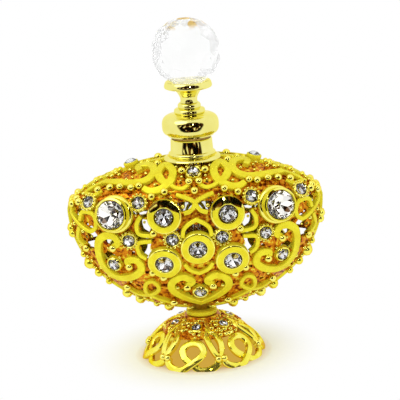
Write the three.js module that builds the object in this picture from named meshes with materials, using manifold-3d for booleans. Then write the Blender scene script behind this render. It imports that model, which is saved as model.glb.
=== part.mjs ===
// A decorative perfume bottle: a jewelled openwork casing on a flared foot, with a glass vial
// inside it and a ball stopper that carries a glass dauber. Millimetres, +Z up, the axis on Z and
// the foot on Z = 0. The front looks along -Y.
import * as THREE from "three";
import { mergeVertices } from "three/addons/utils/BufferGeometryUtils.js";
import Module from "manifold-3d";

const wasm = await Module();
wasm.setup();

// Casing: a pillow form, given by its half width, half depth and the height of its widest line
const CASING_HALF_WIDTH = 37.6;
const CASING_HALF_DEPTH = 17;
const CASING_WIDEST_Z = 47;
const CASING_DROP = 32.6;
const CASING_RISE = 14.2;
const CASING_FULLNESS = 0.6;
const SHOULDER_POWER = 1.75;
const SKIRT_POWER = 2;
const CASING_WALL = 1.3;
const SEAM_GAP = 0.3;
const RIM_OUTER_SHARE = 0.985;
const RIM_INNER_SHARE = 0.9;

// Ornament on the casing
const SCROLL_WIDTH = 1.9;
const WIRE_WIDTH = 1.2;
const TIE_WIDTH = 1.2;
const SCROLL_PROUD = 0.6;
const BEAD_RADIUS = 1.1;

// Stones: radius of the girdle, depth below it and height above it, and how far its setting stands out
const LARGE_STONE = { radius: 4.1, below: 2.8, above: 1.5, collar: 0.9, proud: 3.4, cup: true };
const RING_STONE = { radius: 2.45, below: 1.7, above: 1.1, collar: 2.55, proud: 1.5, cup: false };
const SMALL_STONE = { radius: 1.65, below: 1.2, above: 0.8, collar: 0.95, proud: 0.8, cup: false };
const FOOT_STONE = { radius: 1.2, below: 0.9, above: 0.6, proud: 0.6 };
const STONE_GIRDLE = 0.3;
const CROWN_CUP_HEIGHT = 1.5;
const CROWN_CUP_FLOOR = 0.6;
const STONE_TABLE_SHARE = 0.6;
const STONE_CLEARANCE = 0.2;
const CUP_LEDGE = 0.6;
const STONE_SIDES = 8;

// Glass vial
const VIAL_RADIUS = 6.4;
const VIAL_NECK_RADIUS = 4.9;
const VIAL_WALL = 1;
const VIAL_FLOOR_Z = 21.5;
const VIAL_SHOULDER_Z = 55;
const VIAL_SHOULDER_DROP = 2.5;
const VIAL_HEEL = 1.5;

// Neck collar
const COLLAR_SEAT_Z = 60.1;
const COLLAR_TOP_Z = 66.4;
const COLLAR_RADIUS = 6.15;
const COLLAR_RING_RADIUS = 7;
const COLLAR_RING_HEIGHT = 1.3;
const FLANGE_RADIUS = 8.55;
const FLANGE_HEIGHT = 1.2;
const NECK_BOSS_DEPTH = 5.1;
const NECK_BOSS_WALL = 1.6;

// Stopper
const SEAL_THICKNESS = 0.7;
const BULB_RADIUS = 8.4;
const BULB_BASE_RADIUS = 6.7;
const BULB_TOP_RADIUS = 5.2;
const BULB_HEIGHT = 6.6;
const STEM_LOWER_RADIUS = 4.6;
const STEM_LOWER_HEIGHT = 1.5;
const STEM_UPPER_RADIUS = 3.4;
const STEM_UPPER_HEIGHT = 1.6;
const WAIST_RADIUS = 2.75;
const FUNNEL_HEIGHT = 4;
const FUNNEL_TOP_RADIUS = 4;
const CUP_RADIUS = 7.05;
const CUP_HEIGHT = 2.4;
const CUP_WALL = 0.9;
const CUP_FLOOR = 1.1;
const BALL_RADIUS = 10;
const BALL_FLAT_RADIUS = 2;
const STUD_RADIUS = 1.2;
const PLUG_LENGTH = 7;
const PLUG_FLANGE_RADIUS = 5.2;
const PLUG_FLANGE_HEIGHT = 1.6;
const DAUBER_RADIUS = 1.1;
const DAUBER_TIP_RADIUS = 1.7;
const DAUBER_LENGTH = 26;
const DAUBER_GRIP = 5;

// Foot and what fastens it
const FOOT_RIM_RADIUS = 17.8;
const FOOT_TOP_RADIUS = 5.6;
const FOOT_TOP_Z = 12.2;
const FOOT_RIM_Z = 0.9;
const FOOT_BULGE = 1.2;
const FOOT_WALL = 1.2;
const FOOT_CROWN_SHARE = 0.46;
const CROWN_PROUD = 0.3;
const CROWN_ROOT = 0.6;
const FOOT_BAND = 1;
const FOOT_STRAND_WIDTH = 1.7;
const FOOT_REPEATS = 6;
const FOOT_PHASE = -13;
const FOOT_STONE_SHARE = 0.17;
const WAIST_RING_RADIUS = 4.7;
const WAIST_RING_HEIGHT = 1.6;
const SCREW_RADIUS = 1.25;
const SCREW_HEAD_RADIUS = 2.3;
const SCREW_HEAD_HEIGHT = 1.4;
const SCREW_REACH = 5;
const BASE_RADIUS = 4.4;
const BASE_FLANGE = 0.9;
const CUSHION_RADIUS = 3.6;
const CUSHION_THICKNESS = 0.9;

// Fits
const FIT_CLEARANCE = 0.15;
const SEAT_CLEARANCE = 0.05;
const PLUG_CLEARANCE = 0.1;

const ROUND_SIDES = 20;
const INNER_SIDES = 12;
const NECK_SIDES = 24;
const BOSS_SIDES = 12;
const BEAD_SIDES = 6;
const RIM_SIDES = 36;
const FINER_STEP = 0.8;
const PLAN_COARSENESS = 0.006;
const PLAN_SMALLEST_OPENING = 0.0008;
const FOOT_COARSENESS = 0.16;
const FOOT_SMALLEST_OPENING = 0.8;
const FAR = 100;

// Heights that follow from the stack of pieces
const sealBottomZ = COLLAR_TOP_Z + SEAT_CLEARANCE;
const bulbBottomZ = sealBottomZ + SEAL_THICKNESS + SEAT_CLEARANCE;
const bulbTopZ = bulbBottomZ + BULB_HEIGHT;
const stemBottomZ = bulbTopZ + SEAT_CLEARANCE;
const stemTopZ = stemBottomZ + STEM_LOWER_HEIGHT + STEM_UPPER_HEIGHT;
const cupBottomZ = stemTopZ + SEAT_CLEARANCE;
const cupFloorZ = cupBottomZ + FUNNEL_HEIGHT + CUP_FLOOR;
const cupRimZ = cupBottomZ + FUNNEL_HEIGHT + CUP_HEIGHT;
const ballFlatZ = cupFloorZ + SEAT_CLEARANCE;
const ballCentreZ = ballFlatZ + Math.sqrt(BALL_RADIUS ** 2 - BALL_FLAT_RADIUS ** 2);
const plugFlangeTopZ = bulbBottomZ + PLUG_FLANGE_HEIGHT;
const plugTipZ = bulbBottomZ - PLUG_LENGTH;
const plugRadius = VIAL_NECK_RADIUS - VIAL_WALL - PLUG_CLEARANCE;
const collarBore = VIAL_NECK_RADIUS + FIT_CLEARANCE;
const waistRingBottomZ = FOOT_TOP_Z + SEAT_CLEARANCE;
const waistRingTopZ = waistRingBottomZ + WAIST_RING_HEIGHT;
const baseBottomZ = waistRingTopZ + SEAT_CLEARANCE;
const cushionTopZ = VIAL_FLOOR_Z - SEAT_CLEARANCE;
const baseTopZ = cushionTopZ - CUSHION_THICKNESS - SEAT_CLEARANCE;

// Closed solids

// A geometry with its shared vertices merged and its collapsed triangles dropped.
function closed(geometry) {
  const bare = geometry.clone();
  bare.deleteAttribute("normal");
  bare.deleteAttribute("uv");
  const merged = mergeVertices(bare, 1e-4);
  const index = merged.index.array;
  const kept = [];
  for (let i = 0; i < index.length; i += 3) {
    const [a, b, c] = [index[i], index[i + 1], index[i + 2]];
    if (a !== b && b !== c && a !== c) kept.push(a, b, c);
  }
  merged.setIndex(kept);
  return merged;
}

function solidOf(geometry) {
  const merged = closed(geometry);
  return new wasm.Manifold(
    new wasm.Mesh({
      numProp: 3,
      vertProperties: new Float32Array(merged.attributes.position.array),
      triVerts: new Uint32Array(merged.index.array),
    }),
  );
}

function geometryOf(solid) {
  const mesh = solid.getMesh();
  return new THREE.BufferGeometry()
    .setAttribute("position", new THREE.BufferAttribute(mesh.vertProperties, 3))
    .setIndex(new THREE.BufferAttribute(mesh.triVerts, 1));
}

// Adds geometries together and cuts others away, as one closed geometry.
function joined(additions, cuts = []) {
  const [first, ...rest] = additions.map(solidOf);
  const whole = rest.reduce((sum, piece) => sum.add(piece), first);
  return geometryOf(cuts.map(solidOf).reduce((left, piece) => left.subtract(piece), whole));
}

// A turned solid about Z. The profile runs from the bottom up the outside, as [radius, height].
function turned(profile, sides = ROUND_SIDES) {
  const points = profile.map(([radius, height]) => new THREE.Vector2(radius, height));
  return closed(new THREE.LatheGeometry(points, sides).rotateX(Math.PI / 2));
}

function tube(outer, inner, bottomZ, topZ, sides = ROUND_SIDES) {
  return turned(
    [[outer, bottomZ], [outer, topZ], [inner, topZ], [inner, bottomZ], [outer, bottomZ]],
    sides,
  );
}

function rod(radius, bottomZ, topZ, sides = ROUND_SIDES) {
  return turned([[0, bottomZ], [radius, bottomZ], [radius, topZ], [0, topZ]], sides);
}

// The flat plan of a strip along surface spots, as four-cornered pieces: planOf flattens a point.
function stripPlan(spots, width, planOf, loop = false) {
  const count = spots.length;
  const edges = spots.map((spot, i) => {
    const before = spots[loop ? (i + count - 1) % count : Math.max(i - 1, 0)];
    const after = spots[loop ? (i + 1) % count : Math.min(i + 1, count - 1)];
    const along = after.point.clone().sub(before.point).normalize();
    const side = along.clone().cross(spot.normal).normalize().multiplyScalar(width / 2);
    return [planOf(spot.point.clone().add(side)), planOf(spot.point.clone().sub(side))];
  });
  const pieces = [];
  for (let i = 0; i < (loop ? count : count - 1); i++) {
    const [here, next] = [edges[i], edges[(i + 1) % count]];
    pieces.push([here[0], next[0], next[1], here[1]]);
  }
  return pieces;
}

// The flat plan of a disc of a given radius that lies on the surface at a spot.
function discPlan(spot, radius, sides, planOf) {
  const frame = frameAt(spot);
  return Array.from({ length: sides }, (_, i) => {
    const turn = (2 * Math.PI * i) / sides;
    const point = new THREE.Vector3(radius * Math.sin(turn), -radius * Math.cos(turn), 0);
    return planOf(point.applyMatrix4(frame));
  });
}

// A slab of unit thickness over a flat outline.
function slab(outline) {
  const shape = new THREE.Shape(outline.map(([x, y]) => new THREE.Vector2(x, y)));
  return new THREE.ExtrudeGeometry(shape, { depth: 1, bevelEnabled: false });
}

// The outlines of the upper face of joined slabs, as loops of flat points.
function outlinesOf(slabs) {
  const corners = slabs.attributes.position;
  const index = slabs.index.array;
  const bare = new Map();
  for (let i = 0; i < index.length; i += 3) {
    const triangle = [index[i], index[i + 1], index[i + 2]];
    if (triangle.some((corner) => corners.getZ(corner) < 0.5)) continue;
    triangle.forEach((from, k) => {
      const to = triangle[(k + 1) % 3];
      if (!bare.delete(`${to} ${from}`)) bare.set(`${from} ${to}`, [from, to]);
    });
  }
  const following = new Map(bare.values());
  const loops = [];
  while (following.size) {
    const loop = [];
    let [corner] = following.keys();
    while (following.has(corner)) {
      loop.push(new THREE.Vector2(corners.getX(corner), corners.getY(corner)));
      const next = following.get(corner);
      following.delete(corner);
      corner = next;
    }
    loops.push(loop);
  }
  return loops;
}

// A line of flat points without those that lie nearer than a tolerance to the line through the rest.
function thinned(line, tolerance) {
  const [first, last] = [line[0], line.at(-1)];
  const run = last.clone().sub(first);
  const away = line.map((point) => {
    const from = point.clone().sub(first);
    return run.length() ? Math.abs(run.cross(from)) / run.length() : from.length();
  });
  const farthest = away.indexOf(Math.max(...away));
  if (away[farthest] <= tolerance) return [first, last];
  const before = thinned(line.slice(0, farthest + 1), tolerance);
  const after = thinned(line.slice(farthest), tolerance);
  return [...before.slice(0, -1), ...after];
}

// The flat plan of a tie from the middle of a loose island to just past the nearest corner of other outlines.
function tiePlan(island, others) {
  const middle = island
    .reduce((sum, corner) => sum.add(corner), new THREE.Vector2())
    .divideScalar(island.length);
  const [nearest] = others.flat().sort((one, other) => one.distanceTo(middle) - other.distanceTo(middle));
  const ahead = nearest.clone().sub(middle).setLength(island[0].distanceTo(middle) / 2);
  const side = new THREE.Vector2(-ahead.y, ahead.x);
  const end = nearest.clone().add(ahead);
  return [
    middle.clone().sub(side), end.clone().sub(side), end.clone().add(side), middle.clone().add(side),
  ].map((corner) => corner.toArray());
}

// The outlines of joined plan pieces without holes. An island that stands clear of the rest is tied to it.
function tiedOutlines(pieces, holes, smallest) {
  const outlines = outlinesOf(joined(pieces.map(slab), holes.map(slab)));
  const [, ...loose] = outlines
    .filter((loop) => THREE.ShapeUtils.area(loop) > smallest)
    .sort((one, other) => THREE.ShapeUtils.area(other) - THREE.ShapeUtils.area(one));
  if (!loose.length) return outlines;
  const ties = loose.map((island) => tiePlan(island, outlines.filter((loop) => loop !== island)));
  return tiedOutlines([...pieces, ...ties], holes, smallest);
}

// The outlines thinned and sorted, the rim first, with their triangles. Where thinning makes outlines cross, so
// that triangles go missing, they are thinned less.
function flatSheet(outlines, coarseness, smallestOpening) {
  const areaOf = (loop) => Math.abs(THREE.ShapeUtils.area(loop));
  const loops = outlines
    .map((loop) => thinned([...loop, loop[0]], coarseness).slice(0, -1))
    .filter((loop) => areaOf(loop) > smallestOpening)
    .sort((one, other) => areaOf(other) - areaOf(one));
  const [rim, ...openings] = loops;
  const triangles = THREE.ShapeUtils.triangulateShape(rim, openings);
  const whole = triangles.length === loops.flat().length + 2 * openings.length - 2;
  return whole ? { loops, triangles } : flatSheet(outlines, coarseness * FINER_STEP, smallestOpening);
}

// A pierced sheet: slabs over flat plan pieces are joined, holes are cut, and the result is laid on a form by
// spotOf. Slits too small to cast are filled. proudAt gives the height of the outer face at a point, and root
// the depth of the inner face.
function fretGeometry({ pieces, holes, spotOf, root, proudAt, coarseness, smallestOpening }) {
  const outlines = tiedOutlines(pieces, holes, smallestOpening);
  const { loops, triangles } = flatSheet(outlines, coarseness, smallestOpening);
  const spots = loops.flat().map(({ x, y }) => spotOf([x, y]));
  const count = spots.length;
  const raised = (heightAt) =>
    spots.flatMap(({ point, normal }) => point.clone().addScaledVector(normal, heightAt(point)).toArray());
  const index = triangles.flatMap(([a, b, c]) => [a, b, c, count + a, count + c, count + b]);
  let start = 0;
  for (const loop of loops) {
    loop.forEach((_, i) => {
      const [a, b] = [start + i, start + ((i + 1) % loop.length)];
      index.push(a, count + a, count + b, a, count + b, b);
    });
    start += loop.length;
  }
  const corners = [...raised(proudAt), ...raised(() => -root)];
  return new THREE.BufferGeometry()
    .setAttribute("position", new THREE.Float32BufferAttribute(corners, 3))
    .setIndex(index);
}

// The outer face rises to the top of each setting around its stone, and is level elsewhere.
function risingTo(stones, level) {
  return (point) => {
    const near = stones.find(
      ({ kind, spot }) => !kind.cup && spot.point.distanceTo(point) < kind.radius + 2 * STONE_CLEARANCE,
    );
    return near ? near.kind.proud : level;
  };
}

// The frame of a surface spot: Z along the normal, X level.
function frameAt({ point, normal }) {
  const level = Math.abs(normal.z) > 0.99 ? new THREE.Vector3(0, 1, 0) : new THREE.Vector3(0, 0, 1);
  const x = level.cross(normal).normalize();
  const y = normal.clone().cross(x);
  return new THREE.Matrix4().makeBasis(x, y, normal).setPosition(point);
}

// Stones and their settings

function stoneGeometry({ radius, below, above }) {
  return turned(
    [
      [0, -below],
      [radius, 0],
      [radius, STONE_GIRDLE],
      [radius * STONE_TABLE_SHARE, above],
      [0, above],
    ],
    STONE_SIDES,
  );
}

// The cup that a large stone sits in: a ring with an eased outer edge.
function cupSettingGeometry({ radius, collar, proud }, root) {
  const bore = radius + STONE_CLEARANCE;
  const outer = radius + collar;
  const eased = outer - collar / 2;
  return turned(
    [[outer, -root], [outer, proud - collar / 2], [eased, proud], [bore, proud], [bore, -root], [outer, -root]],
    BOSS_SIDES,
  );
}

// Where a stone's girdle sits above the surface.
const stoneLift = ({ proud }) => proud - STONE_GIRDLE;

// The casing's form

// How far out a place on the front lies, from 0 in the middle to 1 on the seam.
function reachOf(across, up) {
  const power = up < 0 ? SKIRT_POWER : SHOULDER_POWER;
  return (Math.abs(across) ** power + Math.abs(up) ** power) ** (1 / power);
}

// A spot on the front of the casing: across is a share of the half width, and up is a share of the
// rise above the widest line, or of the drop below it where it is negative.
function frontSpot(across, up) {
  const height = up < 0 ? CASING_DROP : CASING_RISE;
  const power = up < 0 ? SKIRT_POWER : SHOULDER_POWER;
  const reach = reachOf(across, up);
  const depth = Math.max(0, 1 - reach ** 2) ** CASING_FULLNESS;
  const slope = (share) => 2 * reach ** (2 - power) * Math.abs(share) ** (power - 1) * Math.sign(share);
  const outward = depth ** (1 / CASING_FULLNESS - 1) / CASING_FULLNESS / CASING_HALF_DEPTH;
  const point = new THREE.Vector3(
    across * CASING_HALF_WIDTH,
    -depth * CASING_HALF_DEPTH,
    CASING_WIDEST_Z + up * height,
  );
  const normal = new THREE.Vector3(
    slope(across) / CASING_HALF_WIDTH,
    -outward,
    slope(up) / height,
  ).normalize();
  return { point, normal };
}

// A spot on the ridge, which is the upper outline of the casing seen from the front.
function ridgeSpot(across) {
  const up = (1 - Math.abs(across) ** SHOULDER_POWER) ** (1 / SHOULDER_POWER);
  return frontSpot(across, up);
}

// Spots along a smooth line through points of the front, for one side: side is 1 or -1.
function frontLine(points, steps, side) {
  const line = new THREE.SplineCurve(points.map(([across, up]) => new THREE.Vector2(across, up)));
  return line.getSpacedPoints(steps).map(({ x, y }) => frontSpot(side * x, y));
}

// Ornament of one half of the front, as shares of the casing, mirrored to the other half

const SCROLLS = [
  // large scroll with two curled ends around a stone
  { steps: 16, points: [[0.65, -0.28], [0.61, -0.24], [0.64, -0.18], [0.71, -0.18], [0.765, -0.25],
    [0.765, -0.4], [0.72, -0.53], [0.63, -0.6], [0.52, -0.58], [0.445, -0.5], [0.47, -0.41],
    [0.545, -0.41], [0.54, -0.46]] },
  // half of the heart
  { steps: 9, points: [[0.1, -0.68], [0.06, -0.63], [0.13, -0.58], [0.21, -0.63], [0.215, -0.72],
    [0.13, -0.81], [0, -0.89]] },
  // shoulder scroll that tapers out along the ridge
  { steps: 13, points: [[0.405, 0.79], [0.425, 0.835], [0.375, 0.865], [0.318, 0.865], [0.3, 0.79],
    [0.344, 0.687], [0.413, 0.627], [0.51, 0.605], [0.61, 0.605], [0.69, 0.59]] },
  // looped scroll beside the collar, with its tail
  { steps: 13, points: [[0.245, 0.665], [0.268, 0.78], [0.215, 0.885], [0.157, 0.81], [0.172, 0.665],
    [0.216, 0.571], [0.275, 0.502], [0.336, 0.486], [0.389, 0.533]] },
];

const WIRES = [
  // curl at the corner and its tail along the edge
  { steps: 11, points: [[0.96, 0.1], [0.955, -0.02], [0.9, -0.1], [0.82, -0.15], [0.77, -0.08],
    [0.8, 0.04], [0.87, 0.05], [0.9, -0.06]] },
  // edge arc below the curl
  { steps: 4, points: [[0.91, -0.12], [0.925, -0.24], [0.86, -0.33]] },
  // lower loop and its tail
  { steps: 11, points: [[0.57, -0.72], [0.48, -0.79], [0.38, -0.78], [0.32, -0.71], [0.36, -0.63],
    [0.42, -0.66], [0.42, -0.76], [0.34, -0.83], [0.22, -0.89]] },
  // bracket beside the upper ring
  { steps: 5, points: [[0.42, 0.02], [0.455, -0.06], [0.44, -0.15], [0.33, -0.17]] },
  // bracket beside the lower ring
  { steps: 4, points: [[0.35, -0.22], [0.455, -0.24], [0.45, -0.34], [0.4, -0.39]] },
  // bow over the centre
  { steps: 4, points: [[0.14, 0.42], [0.05, 0.34], [0, 0.25]] },
  { steps: 3, points: [[0, 0.28], [0.035, 0.12], [0.09, 0.06]] },
  // chevrons over and under the centre ring
  { steps: 3, points: [[0, -0.03], [0.06, -0.07], [0.1, -0.12], [0.11, -0.19]] },
  { steps: 3, points: [[0, -0.55], [0.07, -0.51], [0.11, -0.45]] },
  // inner arc of the shoulder
  { steps: 4, points: [[0.19, 0.6], [0.143, 0.54], [0.087, 0.522], [0.033, 0.596]] },
  // ridge loop
  { steps: 5, points: [[0.69, 0.59], [0.77, 0.5], [0.84, 0.38], [0.77, 0.37], [0.71, 0.45]] },
];

// Plain ties that join the ornament to its neighbours and to the rim.
const TIES = [
  [[0.935, 0.26], [0.82, 0.34], [0.63, 0.46], [0.43, 0.5], [0.15, 0.48], [0, 0.48]],
  [[0, -0.03], [0, -0.17]],
  [[0.09, -0.35], [0.2, -0.4]],
  [[0.08, -0.26], [0.19, -0.206], [0.23, -0.34]],
  [[0.34, -0.45], [0.46, -0.47]],
  [[0.62, -0.23], [0.525, -0.215], [0.45, -0.24]],
  [[0.525, -0.24], [0.53, -0.42]],
  [[0.61, -0.59], [0.655, -0.46], [0.765, -0.46]],
  [[0.765, -0.35], [0.937, -0.34]],
  [[0.57, -0.59], [0.57, -0.72]],
  [[0.5, -0.78], [0.55, -0.832]],
  [[0.3, -0.86], [0.37, -0.926]],
  [[0.33, -0.7], [0.2, -0.7]],
  [[0.34, -0.64], [0.28, -0.56]],
  [[0, -0.42], [0, -0.55], [0.08, -0.6]],
  [[0.13, -0.81], [0, -0.76]],
  [[0, -0.88], [0, -0.995]],
  [[0.09, 0.06], [0.15, 0.04]],
  [[0.14, 0.42], [0.15, 0.5]],
  [[0.33, 0.16], [0.432, 0.28], [0.43, 0.5]],
  [[0.432, 0.28], [0.53, 0.16]],
  [[0.62, 0.3], [0.63, 0.46]],
  [[0.74, 0.05], [0.8, 0.03]],
  [[0.5, 0.02], [0.42, 0.02]],
  [[0.66, -0.06], [0.69, -0.18]],
  [[0.82, 0.34], [0.82, 0.24]],
  [[0.82, 0.24], [0.94, 0.25]],
  [[0, 0.48], [0, 0.78], [0, 0.93]],
  [[0.19, 0.86], [0.15, 0.93]],
  [[0.35, 0.86], [0.37, 0.885]],
  [[0.51, 0.6], [0.5, 0.48]],
  [[0.83, 0.4], [0.855, 0.42]],
  [[0.95, 0], [0.995, 0]],
  [[0.8, -0.13], [0.75, -0.2]],
  [[0.92, -0.24], [0.966, -0.25]],
];

const BEADS = [
  [0.95, 0.15], [0.895, 0.21], [0.91, 0.25], [0.74, 0.45], [0.645, 0.505], [0.566, 0.533], [0.481, 0.527],
  [0.42, 0.56], [0.227, 0.464], [0.267, 0.89], [0.088, 0.79], [0.038, 0.62], [0.327, 0.385], [0.86, -0.32],
  [0.65, -0.29], [0.535, -0.47], [0.1, -0.69], [0.565, -0.7], [0.355, -0.525], [0.275, -0.575], [0.21, -0.87],
  [0.33, -0.14],
];
const MIDDLE_BEADS = [[0, 0.469]];

const PAIRED_STONES = [
  { name: "large", kind: LARGE_STONE, at: [0.62, 0.06], onBack: true },
  { name: "upper_ring", kind: RING_STONE, at: [0.241, 0.014], onBack: true },
  { name: "lower_ring", kind: RING_STONE, at: [0.26, -0.43], onBack: true },
  { name: "upper", kind: SMALL_STONE, at: [0.432, 0.28], onBack: true },
  { name: "inner", kind: SMALL_STONE, at: [0.19, -0.206], onBack: true },
  { name: "corner", kind: SMALL_STONE, at: [0.82, 0.24], onBack: false },
  { name: "outer", kind: SMALL_STONE, at: [0.525, -0.215], onBack: false },
  { name: "scroll", kind: SMALL_STONE, at: [0.655, -0.46], onBack: false },
];
const MIDDLE_STONES = [
  { name: "centre_ring", kind: RING_STONE, at: [0, -0.297] },
  { name: "heart", kind: SMALL_STONE, at: [0, -0.76] },
  { name: "shoulder", kind: SMALL_STONE, at: [0, 0.78] },
];
const CROWN_STONE = { kind: SMALL_STONE, across: 0.476 };

const SIDES = { left: -1, right: 1 };

// Every stone on the front as a name, a kind and a spot.
function frontStones() {
  const paired = PAIRED_STONES.flatMap(({ name, kind, at: [across, up], onBack }) =>
    Object.entries(SIDES).map(([word, side]) => ({
      name: `${name}_stone_${word}`,
      kind,
      onBack,
      spot: frontSpot(side * across, up),
    })),
  );
  const middle = MIDDLE_STONES.map(({ name, kind, at }) => ({
    name: `${name}_stone`,
    kind,
    onBack: true,
    spot: frontSpot(...at),
  }));
  return [...paired, ...middle];
}

// The flat plan of the front: the seam is a circle of radius 1, and distances along the surface are
// kept nearly even from the middle to the seam.
function frontPlan(point) {
  const rise = point.z - CASING_WIDEST_Z;
  const up = rise / (rise < 0 ? CASING_DROP : CASING_RISE);
  const across = point.x / CASING_HALF_WIDTH;
  const facing = Math.max(0, -point.y / CASING_HALF_DEPTH) ** (0.5 / CASING_FULLNESS);
  const share = Math.atan2(reachOf(across, up), facing) / (Math.PI / 2);
  const turn = Math.atan2(up, across);
  return [share * Math.cos(turn), share * Math.sin(turn)];
}

function frontSpotOfPlan([across, up]) {
  const share = Math.min(1, Math.hypot(across, up));
  const turn = Math.atan2(up, across);
  const [cos, sin] = [Math.cos(turn), Math.sin(turn)];
  const reach = Math.sin((share * Math.PI) / 2) / reachOf(cos, sin);
  return frontSpot(reach * cos, reach * sin);
}

// A flat ring about the middle of a plan, as four-cornered pieces.
function ringPlan(outer, inner, sides) {
  const corner = (radius, i) => {
    const turn = (2 * Math.PI * i) / sides;
    return [radius * Math.cos(turn), radius * Math.sin(turn)];
  };
  return Array.from({ length: sides }, (_, i) => [
    corner(outer, i),
    corner(outer, i + 1),
    corner(inner, i + 1),
    corner(inner, i),
  ]);
}

function casingGeometry() {
  const both = (list) => list.flatMap(([across, up]) => [[across, up], [-across, up]]);
  const lines = (list, width) =>
    list.flatMap(({ steps, points }) =>
      Object.values(SIDES).flatMap((side) => stripPlan(frontLine(points, steps, side), width, frontPlan)),
    );
  const discs = (list, radius, sides) => list.map((spot) => discPlan(spot, radius, sides, frontPlan));
  const beads = discs([...both(BEADS), ...MIDDLE_BEADS].map((at) => frontSpot(...at)), BEAD_RADIUS, BEAD_SIDES);
  const stones = frontStones();
  const sidesOf = (kind) => (kind === SMALL_STONE ? STONE_SIDES : BOSS_SIDES);
  const ledge = (kind) => (kind.cup ? CUP_LEDGE : 0);
  const collars = stones.map(({ kind, spot }) =>
    discPlan(spot, kind.radius + kind.collar + ledge(kind), sidesOf(kind), frontPlan),
  );
  const pockets = stones.map(({ kind, spot }) =>
    discPlan(spot, kind.radius + STONE_CLEARANCE + ledge(kind) / 4, STONE_SIDES, frontPlan),
  );
  const fret = fretGeometry({
    pieces: [
      ...ringPlan(RIM_OUTER_SHARE, RIM_INNER_SHARE, RIM_SIDES),
      ...lines(SCROLLS, SCROLL_WIDTH),
      ...lines(WIRES, WIRE_WIDTH),
      ...lines(TIES.map((points) => ({ steps: points.length - 1, points })), TIE_WIDTH),
      ...beads,
      ...collars,
    ],
    holes: pockets,
    spotOf: frontSpotOfPlan,
    root: CASING_WALL,
    proudAt: risingTo(stones, SCROLL_PROUD),
    coarseness: PLAN_COARSENESS,
    smallestOpening: PLAN_SMALLEST_OPENING,
  });
  const settings = stones
    .filter(({ kind }) => kind.cup)
    .map(({ kind, spot }) => cupSettingGeometry(kind, CASING_WALL / 2).applyMatrix4(frameAt(spot)));
  const neckBore = VIAL_NECK_RADIUS + FIT_CLEARANCE;
  const neckBoss = tube(
    neckBore + NECK_BOSS_WALL,
    neckBore,
    CASING_WIDEST_Z + CASING_RISE - NECK_BOSS_DEPTH,
    COLLAR_SEAT_Z - SEAT_CLEARANCE,
    NECK_SIDES,
  );
  const beyondSeam = new THREE.BoxGeometry(FAR, FAR, FAR).translate(0, FAR / 2 - SEAM_GAP / 2, CASING_WIDEST_Z);
  const collarRoom = rod(FLANGE_RADIUS + FIT_CLEARANCE, COLLAR_SEAT_Z - SEAT_CLEARANCE, FAR, INNER_SIDES);
  const neckRoom = rod(neckBore, VIAL_SHOULDER_Z, FAR, NECK_SIDES);
  const baseRoom = turned(baseProfile(FIT_CLEARANCE), INNER_SIDES);
  return joined([fret, ...settings, neckBoss], [beyondSeam, collarRoom, neckRoom, baseRoom]);
}

// The base inside the casing, as a profile grown by a clearance.
function baseProfile(grown) {
  const coneTopZ = baseBottomZ + BASE_RADIUS - BASE_FLANGE;
  const footRadius = BASE_FLANGE + SCREW_RADIUS + FIT_CLEARANCE + grown;
  return [
    [0, baseBottomZ - grown],
    [footRadius, baseBottomZ - grown],
    [BASE_RADIUS + grown, coneTopZ],
    [BASE_RADIUS + grown, baseTopZ + grown],
    [0, baseTopZ + grown],
  ];
}

// Pieces of the bottle

function baseGeometry() {
  return joined(
    [turned(baseProfile(0), INNER_SIDES)],
    [rod(SCREW_RADIUS + FIT_CLEARANCE, 0, waistRingTopZ + SCREW_REACH + FIT_CLEARANCE, INNER_SIDES)],
  );
}

function vialGeometry() {
  const inner = VIAL_RADIUS - VIAL_WALL;
  const neckInner = VIAL_NECK_RADIUS - VIAL_WALL;
  const lipZ = COLLAR_TOP_Z - SEAT_CLEARANCE;
  const floorZ = VIAL_FLOOR_Z + VIAL_WALL;
  const shoulderStartZ = VIAL_SHOULDER_Z - VIAL_SHOULDER_DROP;
  return turned(
    [
      [0, VIAL_FLOOR_Z],
      [VIAL_RADIUS - VIAL_HEEL, VIAL_FLOOR_Z],
      [VIAL_RADIUS, VIAL_FLOOR_Z + VIAL_HEEL],
      [VIAL_RADIUS, shoulderStartZ],
      [VIAL_NECK_RADIUS, VIAL_SHOULDER_Z],
      [VIAL_NECK_RADIUS, lipZ],
      [neckInner, lipZ],
      [neckInner, VIAL_SHOULDER_Z - VIAL_WALL],
      [inner, shoulderStartZ - VIAL_WALL],
      [inner, floorZ + VIAL_HEEL],
      [inner - VIAL_HEEL, floorZ],
      [0, floorZ],
    ],
    NECK_SIDES,
  );
}

function collarGeometry() {
  const flangeTopZ = COLLAR_SEAT_Z + FLANGE_HEIGHT;
  const ringTopZ = flangeTopZ + COLLAR_RING_HEIGHT;
  const lip = (FLANGE_RADIUS - COLLAR_RING_RADIUS) / 2;
  const roll = (COLLAR_RING_RADIUS - COLLAR_RADIUS) / 2;
  return turned([
    [FLANGE_RADIUS - lip, COLLAR_SEAT_Z],
    [FLANGE_RADIUS, COLLAR_SEAT_Z + FLANGE_HEIGHT / 3],
    [FLANGE_RADIUS - lip, flangeTopZ],
    [COLLAR_RING_RADIUS - roll, flangeTopZ],
    [COLLAR_RING_RADIUS, flangeTopZ + COLLAR_RING_HEIGHT / 2],
    [COLLAR_RING_RADIUS - roll, ringTopZ],
    [COLLAR_RADIUS, ringTopZ],
    [COLLAR_RADIUS, COLLAR_TOP_Z],
    [collarBore, COLLAR_TOP_Z],
    [collarBore, COLLAR_SEAT_Z],
    [FLANGE_RADIUS - lip, COLLAR_SEAT_Z],
  ]);
}

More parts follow.
